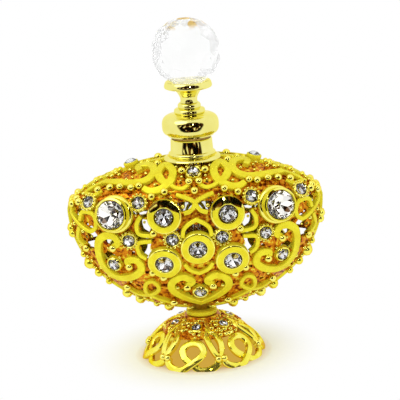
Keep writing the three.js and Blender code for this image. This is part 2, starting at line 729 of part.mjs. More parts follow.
function waistRingGeometry() {
  const bore = SCREW_RADIUS + FIT_CLEARANCE;
  const middleZ = (waistRingBottomZ + waistRingTopZ) / 2;
  const ease = WAIST_RING_HEIGHT / 4;
  return turned([
    [WAIST_RING_RADIUS - ease, waistRingBottomZ],
    [WAIST_RING_RADIUS, middleZ - ease],
    [WAIST_RING_RADIUS, middleZ + ease],
    [WAIST_RING_RADIUS - ease, waistRingTopZ],
    [bore, waistRingTopZ],
    [bore, waistRingBottomZ],
    [WAIST_RING_RADIUS - ease, waistRingBottomZ],
  ]);
}

// The foot's flared form: share runs from its top, 0, to its rim, 1.
function footSpot(angle, share) {
  const run = FOOT_RIM_RADIUS - FOOT_TOP_RADIUS;
  const drop = FOOT_TOP_Z - FOOT_WALL - FOOT_RIM_Z;
  const bulge = 4 * FOOT_BULGE * share * (1 - share);
  const bulging = 4 * FOOT_BULGE * (1 - 2 * share);
  const radius = FOOT_TOP_RADIUS + share * run + bulge;
  const [sin, cos] = [Math.sin(angle), Math.cos(angle)];
  const point = new THREE.Vector3(radius * sin, -radius * cos, FOOT_TOP_Z - FOOT_WALL - share * drop + bulge);
  const outward = drop - bulging;
  const normal = new THREE.Vector3(outward * sin, -outward * cos, run + bulging).normalize();
  return { point, normal };
}

// Ornament of the foot, repeated around it: shares of a repeat from its stone, and shares of the flare
const FOOT_STRANDS = [
  // knot: a ring that crosses itself and runs out along the rim to a bead, with its mirror image
  { steps: 14, sides: [1, -1], points: [[0, 0.49], [0.133, 0.53], [0.208, 0.66], [0.15, 0.8], [0, 0.93],
    [-0.15, 1.04], [-0.3, 1.03], [-0.42, 0.96], [-0.45, 0.86]] },
  // two sides of the leaf between two knots
  { steps: 8, sides: [1], points: [[0.433, 0.3], [0.55, 0.42], [0.57, 0.62], [0.47, 0.87]] },
  { steps: 8, sides: [1], points: [[0.47, 0.87], [0.385, 0.68], [0.3, 0.42], [0.317, 0.34]] },
];
const FOOT_BEADS = [[0.45, 0.86], [-0.45, 0.86]];

// A place in one repeat of the foot's ornament.
function footPlace(along, share, repeat) {
  const angle = THREE.MathUtils.degToRad(FOOT_PHASE + (360 * (repeat + along)) / FOOT_REPEATS);
  return footSpot(angle, share);
}

function footLine({ steps, points }, repeat, side) {
  const line = new THREE.SplineCurve(points.map(([along, share]) => new THREE.Vector2(along, share)));
  return line.getSpacedPoints(steps).map(({ x, y }) => footPlace(side * x, y, repeat));
}

const footRepeats = Array.from({ length: FOOT_REPEATS }, (_, repeat) => repeat);

function footStones() {
  return footRepeats.map((repeat) => ({
    name: `foot_stone_${repeat + 1}`,
    kind: FOOT_STONE,
    spot: footPlace(0, FOOT_STONE_SHARE, repeat),
  }));
}

// The flat plan of the foot is its view from above.
const footPlan = ({ x, y }) => [x, y];

function footSpotOfPlan([x, y]) {
  const spread = FOOT_RIM_RADIUS - FOOT_TOP_RADIUS + 4 * FOOT_BULGE;
  const beyond = Math.hypot(x, y) - FOOT_TOP_RADIUS;
  const share = (2 * beyond) / (spread + Math.sqrt(spread ** 2 - 16 * FOOT_BULGE * beyond));
  return footSpot(Math.atan2(x, -y), share);
}

function footGeometry() {
  const crownEdge = (share, height) => {
    const { point, normal } = footSpot(0, share);
    const place = point.clone().addScaledVector(normal, height);
    return [-place.y, place.z];
  };
  const crownShares = [FOOT_CROWN_SHARE, FOOT_CROWN_SHARE / 2, 0];
  const crownShell = turned([
    ...crownShares.map((share) => crownEdge(share, CROWN_PROUD)),
    [FOOT_TOP_RADIUS - FOOT_WALL / 2, FOOT_TOP_Z],
    [SCREW_RADIUS + FIT_CLEARANCE, FOOT_TOP_Z],
    [SCREW_RADIUS + FIT_CLEARANCE, FOOT_TOP_Z - FOOT_WALL],
    [FOOT_TOP_RADIUS - FOOT_WALL, FOOT_TOP_Z - FOOT_WALL],
    crownEdge(FOOT_CROWN_SHARE / 2, -CROWN_ROOT),
    crownEdge(FOOT_CROWN_SHARE, -CROWN_ROOT),
    crownEdge(FOOT_CROWN_SHARE, CROWN_PROUD),
  ]);
  const strands = footRepeats.flatMap((repeat) =>
    FOOT_STRANDS.flatMap((strand) =>
      strand.sides.flatMap((side) => stripPlan(footLine(strand, repeat, side), FOOT_STRAND_WIDTH, footPlan)),
    ),
  );
  const beads = footRepeats.flatMap((repeat) =>
    FOOT_BEADS.map((at) => discPlan(footPlace(...at, repeat), BEAD_RADIUS, BEAD_SIDES, footPlan)),
  );
  const bandOuter = crownEdge(FOOT_CROWN_SHARE, 0)[0];
  const fret = fretGeometry({
    pieces: [...ringPlan(bandOuter, bandOuter - FOOT_BAND, ROUND_SIDES), ...strands, ...beads],
    holes: [],
    spotOf: footSpotOfPlan,
    root: FOOT_WALL,
    proudAt: () => 0,
    coarseness: FOOT_COARSENESS,
    smallestOpening: FOOT_SMALLEST_OPENING,
  });
  const pockets = footStones().map(({ kind, spot }) => {
    const pocketRadius = kind.radius + STONE_CLEARANCE;
    const pocket = rod(pocketRadius, -kind.below - FOOT_WALL, kind.proud + kind.above, STONE_SIDES);
    return pocket.applyMatrix4(frameAt(spot));
  });
  const belowFloor = new THREE.BoxGeometry(FAR, FAR, FAR).translate(0, 0, -FAR / 2);
  return joined([crownShell, fret], [belowFloor, ...pockets]);
}

function screwGeometry() {
  const headTopZ = FOOT_TOP_Z - FOOT_WALL - SEAT_CLEARANCE;
  return turned(
    [
      [0, headTopZ - SCREW_HEAD_HEIGHT],
      [SCREW_HEAD_RADIUS, headTopZ - SCREW_HEAD_HEIGHT],
      [SCREW_HEAD_RADIUS, headTopZ],
      [SCREW_RADIUS, headTopZ],
      [SCREW_RADIUS, waistRingTopZ + SCREW_REACH],
      [0, waistRingTopZ + SCREW_REACH],
    ],
    INNER_SIDES,
  );
}

// Pieces of the stopper

function bulbGeometry() {
  const studBore = STUD_RADIUS + FIT_CLEARANCE;
  const socket = PLUG_FLANGE_RADIUS + FIT_CLEARANCE;
  const socketTopZ = plugFlangeTopZ + SEAT_CLEARANCE;
  const widestZ = bulbBottomZ + BULB_HEIGHT * 0.48;
  const side = (fromRadius, toRadius, fromZ, toZ, turns) =>
    turns.map((turn) => [
      toRadius + (fromRadius - toRadius) * Math.cos(turn),
      fromZ + (toZ - fromZ) * Math.sin(turn),
    ]);
  const below = side(BULB_RADIUS, BULB_BASE_RADIUS, widestZ, bulbBottomZ, [1.2, 0.8, 0.4]);
  const above = side(BULB_RADIUS, BULB_TOP_RADIUS, widestZ, bulbTopZ, [0, 0.4, 0.8, 1.2]);
  return turned([
    [BULB_BASE_RADIUS, bulbBottomZ],
    ...below,
    ...above,
    [BULB_TOP_RADIUS, bulbTopZ],
    [studBore, bulbTopZ],
    [studBore, socketTopZ],
    [socket, socketTopZ],
    [socket, bulbBottomZ],
    [BULB_BASE_RADIUS, bulbBottomZ],
  ]);
}

function stemGeometry() {
  const studBore = STUD_RADIUS + FIT_CLEARANCE;
  const stepZ = stemBottomZ + STEM_LOWER_HEIGHT;
  const ease = STEM_LOWER_HEIGHT / 4;
  return turned([
    [STEM_LOWER_RADIUS - ease, stemBottomZ],
    [STEM_LOWER_RADIUS, stemBottomZ + ease],
    [STEM_LOWER_RADIUS, stepZ - ease],
    [STEM_LOWER_RADIUS - ease, stepZ],
    [STEM_UPPER_RADIUS, stepZ],
    [STEM_UPPER_RADIUS, stemTopZ - ease],
    [STEM_UPPER_RADIUS - ease, stemTopZ],
    [studBore, stemTopZ],
    [studBore, stemBottomZ],
    [STEM_LOWER_RADIUS - ease, stemBottomZ],
  ]);
}

function cupGeometry() {
  const studBore = STUD_RADIUS + FIT_CLEARANCE;
  const funnelTopZ = cupBottomZ + FUNNEL_HEIGHT;
  const studTopZ = funnelTopZ - CUP_FLOOR;
  const inner = CUP_RADIUS - CUP_WALL;
  const dish = BALL_FLAT_RADIUS + FIT_CLEARANCE;
  return turned([
    [WAIST_RADIUS, cupBottomZ],
    [WAIST_RADIUS + (FUNNEL_TOP_RADIUS - WAIST_RADIUS) / 3, cupBottomZ + FUNNEL_HEIGHT / 2],
    [FUNNEL_TOP_RADIUS, funnelTopZ],
    [CUP_RADIUS - CUP_WALL / 2, funnelTopZ + CUP_WALL / 2],
    [CUP_RADIUS, funnelTopZ + CUP_WALL],
    [CUP_RADIUS, cupRimZ],
    [inner, cupRimZ],
    [dish, cupFloorZ],
    [0, cupFloorZ],
    [0, studTopZ],
    [studBore, studTopZ],
    [studBore, cupBottomZ],
    [WAIST_RADIUS, cupBottomZ],
  ]);
}

// A ball cut in flat facets, ground flat where it sits in its cup.
function ballGeometry() {
  const cut = new THREE.BoxGeometry(FAR, FAR, FAR).translate(0, 0, ballFlatZ - FAR / 2);
  const ball = new THREE.IcosahedronGeometry(BALL_RADIUS, 2).translate(0, 0, ballCentreZ);
  return joined([ball], [cut]);
}

function studGeometry() {
  const topZ = cupBottomZ + FUNNEL_HEIGHT - CUP_FLOOR - SEAT_CLEARANCE;
  return rod(STUD_RADIUS, plugFlangeTopZ + 2 * SEAT_CLEARANCE, topZ, INNER_SIDES);
}

function plugGeometry() {
  const gripTopZ = plugTipZ + DAUBER_GRIP;
  const bore = DAUBER_RADIUS + FIT_CLEARANCE;
  return turned(
    [
      [bore, plugTipZ],
      [plugRadius - PLUG_CLEARANCE, plugTipZ],
      [plugRadius, plugTipZ + PLUG_CLEARANCE],
      [plugRadius, bulbBottomZ],
      [PLUG_FLANGE_RADIUS, bulbBottomZ],
      [PLUG_FLANGE_RADIUS, plugFlangeTopZ],
      [0, plugFlangeTopZ],
      [0, gripTopZ],
      [bore, gripTopZ],
      [bore, plugTipZ],
    ],
    NECK_SIDES,
  );
}

function dauberGeometry() {
  const topZ = plugTipZ + DAUBER_GRIP - SEAT_CLEARANCE;
  const tipZ = plugTipZ - DAUBER_LENGTH;
  return turned(
    [
      [0, tipZ],
      [DAUBER_TIP_RADIUS * 0.75, tipZ + DAUBER_TIP_RADIUS * 0.4],
      [DAUBER_TIP_RADIUS, tipZ + DAUBER_TIP_RADIUS],
      [DAUBER_RADIUS, tipZ + 2 * DAUBER_TIP_RADIUS],
      [DAUBER_RADIUS, topZ],
      [0, topZ],
    ],
    INNER_SIDES,
  );
}

// Materials and the assembly

const finish = (color, roughness, metalness) => new THREE.MeshStandardMaterial({ color, roughness, metalness });
const castGold = finish(0xe8b923, 0.3, 1);
const polishedGold = finish(0xf0cf55, 0.12, 1);
const crystal = finish(0xf4f6f5, 0.05, 0);
const glass = finish(0xe6eceb, 0.08, 0);
const brass = finish(0xb9983f, 0.35, 1);
const polymer = finish(0xeceae0, 0.55, 0);

const part = new THREE.Group();

function add(name, geometry, material, parent = part) {
  const mesh = new THREE.Mesh(geometry, material);
  mesh.name = name;
  parent.add(mesh);
  return mesh;
}

function addStone({ name, kind, spot }, parent) {
  const stone = add(name, stoneGeometry(kind), crystal, parent);
  const seat = frameAt(spot).multiply(new THREE.Matrix4().makeTranslation(0, 0, stoneLift(kind)));
  seat.decompose(stone.position, stone.quaternion, stone.scale);
}

const casing = casingGeometry();
const back = new THREE.Group();
back.rotation.z = Math.PI;
part.add(back);
add("front_casing", casing, castGold);
add("back_casing", casing, castGold, back);
for (const stone of frontStones()) {
  addStone({ ...stone, name: `front_${stone.name}` }, part);
  if (stone.onBack) addStone({ ...stone, name: `back_${stone.name}` }, back);
}

// The two stones that stand up on the ridge, each in a cup that bridges the seam.
for (const [word, side] of Object.entries(SIDES)) {
  const across = side * CROWN_STONE.across;
  const ridge = ridgeSpot(across);
  ridge.point.addScaledVector(ridge.normal, SCROLL_PROUD + SEAT_CLEARANCE + CROWN_CUP_HEIGHT);
  const { radius, collar, proud } = CROWN_STONE.kind;
  const outer = radius + collar;
  const bore = radius + STONE_CLEARANCE;
  const cup = turned(
    [
      [0, -CROWN_CUP_HEIGHT],
      [radius, -CROWN_CUP_HEIGHT],
      [outer, 0],
      [outer, proud],
      [bore, proud],
      [bore, -CROWN_STONE.kind.below / 2],
      [0, CROWN_CUP_FLOOR - CROWN_CUP_HEIGHT],
    ],
    STONE_SIDES,
  );
  const setting = add(`crown_setting_${word}`, cup, castGold);
  frameAt(ridge).decompose(setting.position, setting.quaternion, setting.scale);
  addStone({ name: `crown_stone_${word}`, kind: CROWN_STONE.kind, spot: ridge }, part);
}

add("casing_base", baseGeometry(), brass);
add("vial_cushion", rod(CUSHION_RADIUS, baseTopZ + SEAT_CLEARANCE, cushionTopZ, INNER_SIDES), polymer);
add("glass_vial", vialGeometry(), glass);
add("neck_collar", collarGeometry(), polishedGold);
add("waist_ring", waistRingGeometry(), polishedGold);
add("foot", footGeometry(), castGold);
add("foot_screw", screwGeometry(), brass);
for (const stone of footStones()) addStone(stone, part);

add(
  "seal_washer",
  tube(COLLAR_RADIUS, plugRadius + PLUG_CLEARANCE, sealBottomZ, sealBottomZ + SEAL_THICKNESS),
  polymer,
);
add("stopper_bulb", bulbGeometry(), polishedGold);
add("stopper_stem", stemGeometry(), polishedGold);
add("ball_cup", cupGeometry(), polishedGold);
add("crystal_ball", ballGeometry(), crystal);
add("stopper_stud", studGeometry(), brass);
add("stopper_plug", plugGeometry(), polymer);
add("dauber_rod", dauberGeometry(), glass);

export default part;
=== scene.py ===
# A decorative perfume bottle: a jewelled openwork casing on a flared foot, with a ball stopper.
# Sizes are in millimetres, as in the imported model, and each finished mesh is scaled to metres.
import math
import random

import bmesh
import bpy
from mathutils import Matrix, Vector


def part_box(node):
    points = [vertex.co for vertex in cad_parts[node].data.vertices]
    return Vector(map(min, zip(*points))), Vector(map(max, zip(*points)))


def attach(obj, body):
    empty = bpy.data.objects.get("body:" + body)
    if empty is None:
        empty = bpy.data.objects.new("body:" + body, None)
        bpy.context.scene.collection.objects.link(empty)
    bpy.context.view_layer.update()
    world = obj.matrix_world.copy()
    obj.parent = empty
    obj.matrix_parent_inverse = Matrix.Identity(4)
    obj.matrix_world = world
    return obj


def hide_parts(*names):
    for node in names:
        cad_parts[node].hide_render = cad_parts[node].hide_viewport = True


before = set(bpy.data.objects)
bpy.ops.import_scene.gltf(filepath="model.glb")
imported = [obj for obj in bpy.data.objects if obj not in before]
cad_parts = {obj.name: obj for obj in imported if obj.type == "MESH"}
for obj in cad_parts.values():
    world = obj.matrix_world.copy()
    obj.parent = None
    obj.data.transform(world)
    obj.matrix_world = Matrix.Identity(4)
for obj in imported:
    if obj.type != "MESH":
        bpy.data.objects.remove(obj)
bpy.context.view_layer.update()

MM = 0.001
ROUND_STEPS = 72
SMALL_ROUND_STEPS = 32
EDGE_ANGLE = math.radians(38)

# Casing: a pillow form, given by its half width, half depth and the height of its widest line
HALF_WIDTH = 37.6
HALF_DEPTH = 17.0
WIDEST_Z = 47.0
DROP = 32.6
RISE = 14.2
FULLNESS = 0.6
SHOULDER_POWER = 1.75
SKIRT_POWER = 2.0

# Heights of the casting's layers above the form
GROUND_TOP = -0.45
GROUND_THICKNESS = 0.55
BAND_ROOT = -1.0
BAND_TOP = 0.85
WIRE_TOP = 0.75
TIE_TOP = 0.1

# Stones: the girdle's radius, the depth below it and the height above it, how far it stands out from its
# seat, and the table's share of the radius. Where a setting has sloping cuts, a place on the middle one.
LARGE_STONE = {
    "radius": 4.1, "below": 1.3, "above": 1.5, "proud": 3.4, "table": 0.74,
    "setting": "bezel", "cut": (0, 4.35, 3.42),
}
RING_STONE = {"radius": 2.45, "below": 0.85, "above": 1.1, "proud": 1.5, "table": 0.6, "setting": "ring"}
UPPER_STONE = {**RING_STONE, "cut": (0, 3.3, 1.32)}
SMALL_STONE = {"radius": 1.65, "below": 0.6, "above": 0.8, "proud": 0.8, "table": 0.6, "setting": "collet"}
FOOT_STONE = {
    "radius": 1.2, "below": 0.9, "above": 0.6, "proud": 0.8, "table": 0.6, "setting": "foot_collet",
}
GIRDLE = 0.3


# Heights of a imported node's bottom and top.
def heights_of(node):
    low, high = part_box(node)
    return low[2] / MM, high[2] / MM


COLLAR_SEAT_Z, COLLAR_TOP_Z = heights_of("neck_collar")
BULB_BOTTOM_Z, BULB_TOP_Z = heights_of("stopper_bulb")
STEM_BOTTOM_Z, STEM_TOP_Z = heights_of("stopper_stem")
CUP_BOTTOM_Z, CUP_RIM_Z = heights_of("ball_cup")
BALL_FLAT_Z, _ = heights_of("crystal_ball")
WAIST_BOTTOM_Z, WAIST_TOP_Z = heights_of("waist_ring")
VIAL_FLOOR_Z, VIAL_LIP_Z = heights_of("glass_vial")
SEAL_BOTTOM_Z, SEAL_TOP_Z = heights_of("seal_washer")
PLUG_TIP_Z, PLUG_TOP_Z = heights_of("stopper_plug")
DAUBER_TIP_Z, DAUBER_TOP_Z = heights_of("dauber_rod")
BALL_RADIUS = 10.0
BALL_FLAT_RADIUS = 2.0
ball_centre_z = BALL_FLAT_Z + math.sqrt(BALL_RADIUS**2 - BALL_FLAT_RADIUS**2)

# Foot: a bulged flare, with an ornament that repeats around it
FOOT_TOP_RADIUS = 5.6
FOOT_RIM_RADIUS = 17.8
FOOT_TOP_Z = 12.2
FOOT_RIM_Z = 0.9
FOOT_BULGE = 1.2
FOOT_WALL = 1.2
FOOT_CROWN_SHARE = 0.42
FOOT_REPEATS = 6
FOOT_PHASE = math.radians(-13)
FOOT_STONE_SHARE = 0.17
SCREW_BORE = 1.4

# Camera that stands where the photograph was taken from
CAMERA_PLACE = Vector((0, -449.1, 161.7)) * MM
CAMERA_YAW = math.radians(0.19)
CAMERA_PITCH = math.radians(14.29)
CAMERA_ROLL = math.radians(-3.44)
CAMERA_LENS = 140.5
SENSOR_WIDTH = 36.0
NEAREST_SEEN = 0.01


def stand_camera():
    forward = Vector((
        math.sin(CAMERA_YAW) * math.cos(CAMERA_PITCH),
        math.cos(CAMERA_YAW) * math.cos(CAMERA_PITCH),
        -math.sin(CAMERA_PITCH),
    ))
    level = Vector((math.cos(CAMERA_YAW), -math.sin(CAMERA_YAW), 0))
    upright = level.cross(forward)
    right = math.cos(CAMERA_ROLL) * level + math.sin(CAMERA_ROLL) * upright
    up = -math.sin(CAMERA_ROLL) * level + math.cos(CAMERA_ROLL) * upright
    data = bpy.data.cameras.new("photo_camera")
    data.sensor_width = SENSOR_WIDTH
    data.lens = CAMERA_LENS
    data.clip_start = NEAREST_SEEN
    camera = bpy.data.objects.new("photo_camera", data)
    turn = Matrix((right, up, -forward)).transposed().to_4x4()
    camera.matrix_world = Matrix.Translation(CAMERA_PLACE) @ turn
    bpy.context.scene.collection.objects.link(camera)
    bpy.context.scene.camera = camera


stand_camera()
bpy.context.scene.view_settings.view_transform = "Standard"


# Materials

NOISE_LIMITS = (0.3, 0.7)
HAZE_SCALE = 180
PAINTED_GLINT_SCALE = 260
MOULDING_SCALE = 900
MOULDING_DEPTH = 0.05
CAST_BUMP = 0.35
MOULDED_BUMP = 0.2
WHITE = (1, 1, 1)
BLACK = (0, 0, 0)
AMBER_EDGE = (0.9, 0.55, 0.1)
PALE_EDGE = (1, 0.95, 0.6)
YELLOW_SHEEN = (1, 0.9, 0.25)
PAINTED_GOLD_GLINT = (0.78, 0.5, 0.1)


# Sets each input of a node to a value, or links it where it is given a socket.
def fill_inputs(tree, node, inputs):
    for name, value in inputs.items():
        if isinstance(value, bpy.types.NodeSocket):
            tree.links.new(value, node.inputs[name])
        else:
            node.inputs[name].default_value = value


def new_node(tree, kind, inputs):
    node = tree.nodes.new(kind)
    fill_inputs(tree, node, inputs)
    return node


def new_material(name):
    material = bpy.data.materials.new(name)
    material.use_nodes = True
    return material, material.node_tree, material.node_tree.nodes["Principled BSDF"]


# The place on its own piece that a pattern follows.
def object_place(tree):
    return tree.nodes.new("ShaderNodeTexCoord").outputs["Object"]


def noise_of(tree, scale, detail, place):
    inputs = {"Scale": scale, "Detail": detail, "Vector": place}
    return new_node(tree, "ShaderNodeTexNoise", inputs).outputs["Fac"]


def ramp_of(tree, value, stops):
    ramp = new_node(tree, "ShaderNodeValToRGB", {"Fac": value})
    elements = ramp.color_ramp.elements
    elements[0].position = stops[0][0]
    elements[1].position = stops[-1][0]
    for position, _ in stops[1:-1]:
        elements.new(position)
    for element, (_, colour) in zip(elements, stops):
        element.color = (*colour, 1)
    return ramp.outputs["Color"]


# Spreads the values between two limits over a range of its own.
def span_of(tree, value, limits, spread=(0, 1), smooth=False):
    span = tree.nodes.new("ShaderNodeMapRange")
    span.interpolation_type = "SMOOTHSTEP" if smooth else "LINEAR"
    fill_inputs(tree, span, {
        "Value": value, "From Min": limits[0], "From Max": limits[1],
        "To Min": spread[0], "To Max": spread[1],
    })
    return span.outputs["Result"]


def joined_value(tree, operation, first, second):
    joint = tree.nodes.new("ShaderNodeMath")
    joint.operation = operation
    fill_inputs(tree, joint, {0: first, 1: second})
    return joint.outputs["Value"]


def joined_vector(tree, operation, first, second):
    joint = tree.nodes.new("ShaderNodeVectorMath")
    joint.operation = operation
    fill_inputs(tree, joint, {0: first, 1: second})
    return joint.outputs["Vector"]


def length_of(tree, vector):
    length = tree.nodes.new("ShaderNodeVectorMath")
    length.operation = "LENGTH"
    fill_inputs(tree, length, {0: vector})
    return length.outputs["Value"]


def mixed_colour(tree, share, first, second):
    mix = tree.nodes.new("ShaderNodeMix")
    mix.data_type = "RGBA"
    fill_inputs(tree, mix, {"Factor": share, "A": first, "B": (*second, 1)})
    return mix.outputs["Result"]


# Shows a mix of two shaders, by the second one's share.
def show_mix(tree, output, share, first, second):
    mix = new_node(tree, "ShaderNodeMixShader", {"Fac": share, 1: first, 2: second})
    tree.links.new(mix.outputs["Shader"], tree.nodes[output].inputs["Surface"])


# Whether a ray comes from the camera, or from gloss or glass that shows what lies behind.
def showing_rays(tree, path):
    seen = joined_value(tree, "MAXIMUM", path.outputs["Is Camera Ray"], path.outputs["Is Glossy Ray"])
    return joined_value(tree, "MAXIMUM", seen, path.outputs["Is Transmission Ray"])


def bump_of(tree, height, strength, depth):
    inputs = {"Strength": strength, "Distance": depth * MM, "Height": height}
    return new_node(tree, "ShaderNodeBump", inputs).outputs["Normal"]


def two_tones(dull, bright):
    return [(0.35, dull), (0.65, bright)]


# A gilt casting or a foil: tones in soft patches, with a fine grain and a tinted edge.
def gilt_material(
        name, tones, gloss, grain_scale, grain_depth=0.002, patch_scale=260, metallic=1, edge=WHITE):
    material, tree, shader = new_material(name)
    place = object_place(tree)
    patches = noise_of(tree, patch_scale, 3, place)
    grain = noise_of(tree, grain_scale, 4, place)
    fill_inputs(tree, shader, {
        "Base Color": ramp_of(tree, patches, tones),
        "Roughness": span_of(tree, grain, NOISE_LIMITS, gloss),
        "Normal": bump_of(tree, grain, CAST_BUMP, grain_depth),
        "Metallic": metallic,
        "Specular Tint": (*edge, 1),
    })
    return material


# Paints amber glints into patches of a clear material, from one height up to another: a painted reflection of
# the gold below, which its facets would gather.
def painted_gold_glints(tree, place, colour, heights):
    split = new_node(tree, "ShaderNodeSeparateXYZ", {"Vector": place})
    rise = span_of(tree, split.outputs["Z"], [height * MM for height in heights])
    patches = noise_of(tree, PAINTED_GLINT_SCALE, 0, place)
    spots = ramp_of(tree, patches, [(0.5, BLACK), (0.55, WHITE)])
    return mixed_colour(tree, joined_value(tree, "MULTIPLY", rise, spots), colour, PAINTED_GOLD_GLINT)


# Clear glass with a faint unevenness in its polish. A share of the light may pass straight through it. Where
# heights are given, its colour takes painted gold glints.
def clear_material(name, tint, roughness, index, straight=0, painted_glint_heights=()):
    material, tree, shader = new_material(name)
    place = object_place(tree)
    haze = noise_of(tree, HAZE_SCALE, 2, place)
    colour = ramp_of(tree, haze, [(0.4, tint), (0.6, WHITE)])
    if painted_glint_heights:
        colour = painted_gold_glints(tree, place, colour, painted_glint_heights)
    fill_inputs(tree, shader, {
        "Base Color": colour,
        "Roughness": span_of(tree, haze, NOISE_LIMITS, (0, roughness)),
        "IOR": index,
        "Transmission Weight": 1,
    })
    # The straight share takes the same colour, painted glints included.
    if straight:
        through = new_node(tree, "ShaderNodeBsdfTransparent", {"Color": colour})
        show_mix(tree, "Material Output", straight, shader.outputs["BSDF"], through.outputs["BSDF"])
    return material


# Moulded polymer with a fine moulding grain.
def moulded_material(name, dull, bright, gloss):
    material, tree, shader = new_material(name)
    grain = noise_of(tree, MOULDING_SCALE, 4, object_place(tree))
    fill_inputs(tree, shader, {
        "Base Color": ramp_of(tree, grain, list(zip(NOISE_LIMITS, (dull, bright)))),
        "Roughness": span_of(tree, grain, NOISE_LIMITS, gloss),
        "Normal": bump_of(tree, grain, MOULDED_BUMP, MOULDING_DEPTH),
    })
    return material


satin_gilt = gilt_material(
    "satin_gilt", two_tones((0.73, 0.62, 0.018), (0.81, 0.74, 0.03)), gloss=(0.3, 0.42),
    grain_scale=1500, grain_depth=0.03, patch_scale=420, metallic=0.3, edge=YELLOW_SHEEN)
hammered_gilt = gilt_material(
    "hammered_gilt", two_tones((0.9, 0.8, 0.06), (0.97, 0.92, 0.16)), gloss=(0.05, 0.1),
    grain_scale=420, grain_depth=0.22, patch_scale=300, metallic=0.9, edge=AMBER_EDGE)
bead_gilt = gilt_material(
    "bead_gilt", two_tones((0.94, 0.84, 0.12), (0.98, 0.92, 0.2)), gloss=(0.04, 0.09),
    grain_scale=1200, grain_depth=0.01, patch_scale=300, edge=AMBER_EDGE)
# The ground's gold is painted in shade: deep orange with dark red patches stand in for the shade of the
# recess, with pale yellow patches of painted highlight.
painted_shade_ground_tones = [
    (0.38, (0.18, 0.02, 0.001)), (0.45, (0.62, 0.19, 0.004)),
    (0.57, (0.78, 0.3, 0.008)), (0.64, (0.92, 0.74, 0.04)),
]
painted_shade_ground_gilt = gilt_material(
    "painted_shade_ground_gilt", painted_shade_ground_tones, gloss=(0.3, 0.5),
    grain_scale=900, grain_depth=0.25, patch_scale=900, metallic=0.9)
polished_gilt = gilt_material(
    "polished_gilt", two_tones((0.86, 0.79, 0.22), (0.9, 0.84, 0.27)), gloss=(0.03, 0.07),
    grain_scale=700, edge=PALE_EDGE)
plain_brass = gilt_material(
    "plain_brass", two_tones((0.50, 0.33, 0.09), (0.60, 0.42, 0.13)), gloss=(0.28, 0.42),
    grain_scale=900, grain_depth=0.02)
foil = gilt_material(
    "stone_foil", two_tones((0.80, 0.81, 0.82), (0.95, 0.95, 0.95)), gloss=(0.02, 0.08), grain_scale=500)
pale_foil = gilt_material(
    "pale_foil", two_tones((0.93, 0.91, 0.84), (0.98, 0.97, 0.93)), gloss=(0.02, 0.06), grain_scale=500)
# A dark foil for some pavilion facets: a painted dark reflection in the stone.
painted_dark_reflection_foil = gilt_material(
    "painted_dark_reflection_foil", two_tones((0.05, 0.035, 0.02), (0.14, 0.10, 0.07)), gloss=(0.05, 0.12), grain_scale=500)
cut_crystal = clear_material("cut_crystal", (0.98, 0.99, 0.99), roughness=0.01, index=1.56)
# The ball's top is painted with amber glints, a painted reflection of the gold cup below.
ball_crystal = clear_material(
    "ball_crystal", (0.985, 0.99, 0.985), roughness=0.01, index=1.3, straight=0.55,
    painted_glint_heights=(98.9, 100.4))
vial_glass = clear_material("vial_glass", (0.93, 0.96, 0.95), roughness=0.03, index=1.47)
pale_polymer = moulded_material("pale_polymer", (0.72, 0.70, 0.62), (0.82, 0.80, 0.72), gloss=(0.37, 0.53))
# The seal's dark amber is painted shade, so that the gap under the bulb reads dark.
painted_shade_polymer = moulded_material("painted_shade_polymer", (0.22, 0.11, 0.006), (0.46, 0.27, 0.02), gloss=(0.32, 0.48))


# Making pieces

MERGE_DISTANCE = 1e-4
SEAM_MERGE_DISTANCE = 1e-3


# Turns a finished bmesh in millimetres into a piece that rides on a body.
def make_piece(
        name, bm, materials, nodes=(), body="bottle", edge_angle=EDGE_ANGLE, smooth=True):
    bmesh.ops.scale(bm, vec=(MM, MM, MM), verts=bm.verts)
    mesh = bpy.data.meshes.new(name)
    bm.to_mesh(mesh)
    bm.free()
    for material in materials:
        mesh.materials.append(material)
    mesh.polygons.foreach_set("use_smooth", [smooth] * len(mesh.polygons))
    if smooth:
        mesh.set_sharp_from_angle(angle=edge_angle)
    piece = bpy.data.objects.new(name, mesh)
    bpy.context.scene.collection.objects.link(piece)
    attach(piece, body)
    if nodes:
        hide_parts(*nodes)
    return piece


def faced_outward(bm):
    bmesh.ops.recalc_face_normals(bm, faces=bm.faces)
    return bm


def turn_about(bm, angle):
    bmesh.ops.rotate(bm, cent=(0, 0, 0), matrix=Matrix.Rotation(angle, 3, "Z"), verts=bm.verts)


# A turned shape about Z from a profile of (radius, height) corners, closed at the axis or on itself.
def turn_profile(profile, steps=ROUND_STEPS, place=Matrix()):
    bm = bmesh.new()
    corners = [bm.verts.new((radius, 0, height)) for radius, height in profile]
    edges = [bm.edges.new(pair) for pair in zip(corners, corners[1:])]
    closed_on_itself = profile[0][0] > 0 and profile[-1][0] > 0
    if closed_on_itself:
        edges.append(bm.edges.new((corners[-1], corners[0])))
    bmesh.ops.spin(
        bm, geom=corners + edges, cent=(0, 0, 0), axis=(0, 0, 1), angle=math.tau, steps=steps,
        use_merge=True)
    bmesh.ops.remove_doubles(bm, verts=bm.verts, dist=MERGE_DISTANCE)
    bmesh.ops.transform(bm, matrix=place, verts=bm.verts)
    return bm


def everything_of(bm):
    return bm.verts[:] + bm.edges[:] + bm.faces[:]


# Cuts away what lies outside a plane, and closes the cut by an operator if one is given.
def cut_away(bm, place, outward, close=None):
    cut = bmesh.ops.bisect_plane(
        bm, geom=everything_of(bm), plane_co=place, plane_no=outward, clear_outer=True)
    edges = [item for item in cut["geom_cut"] if isinstance(item, bmesh.types.BMEdge)]
    if close and edges:
        close(bm, edges=edges)


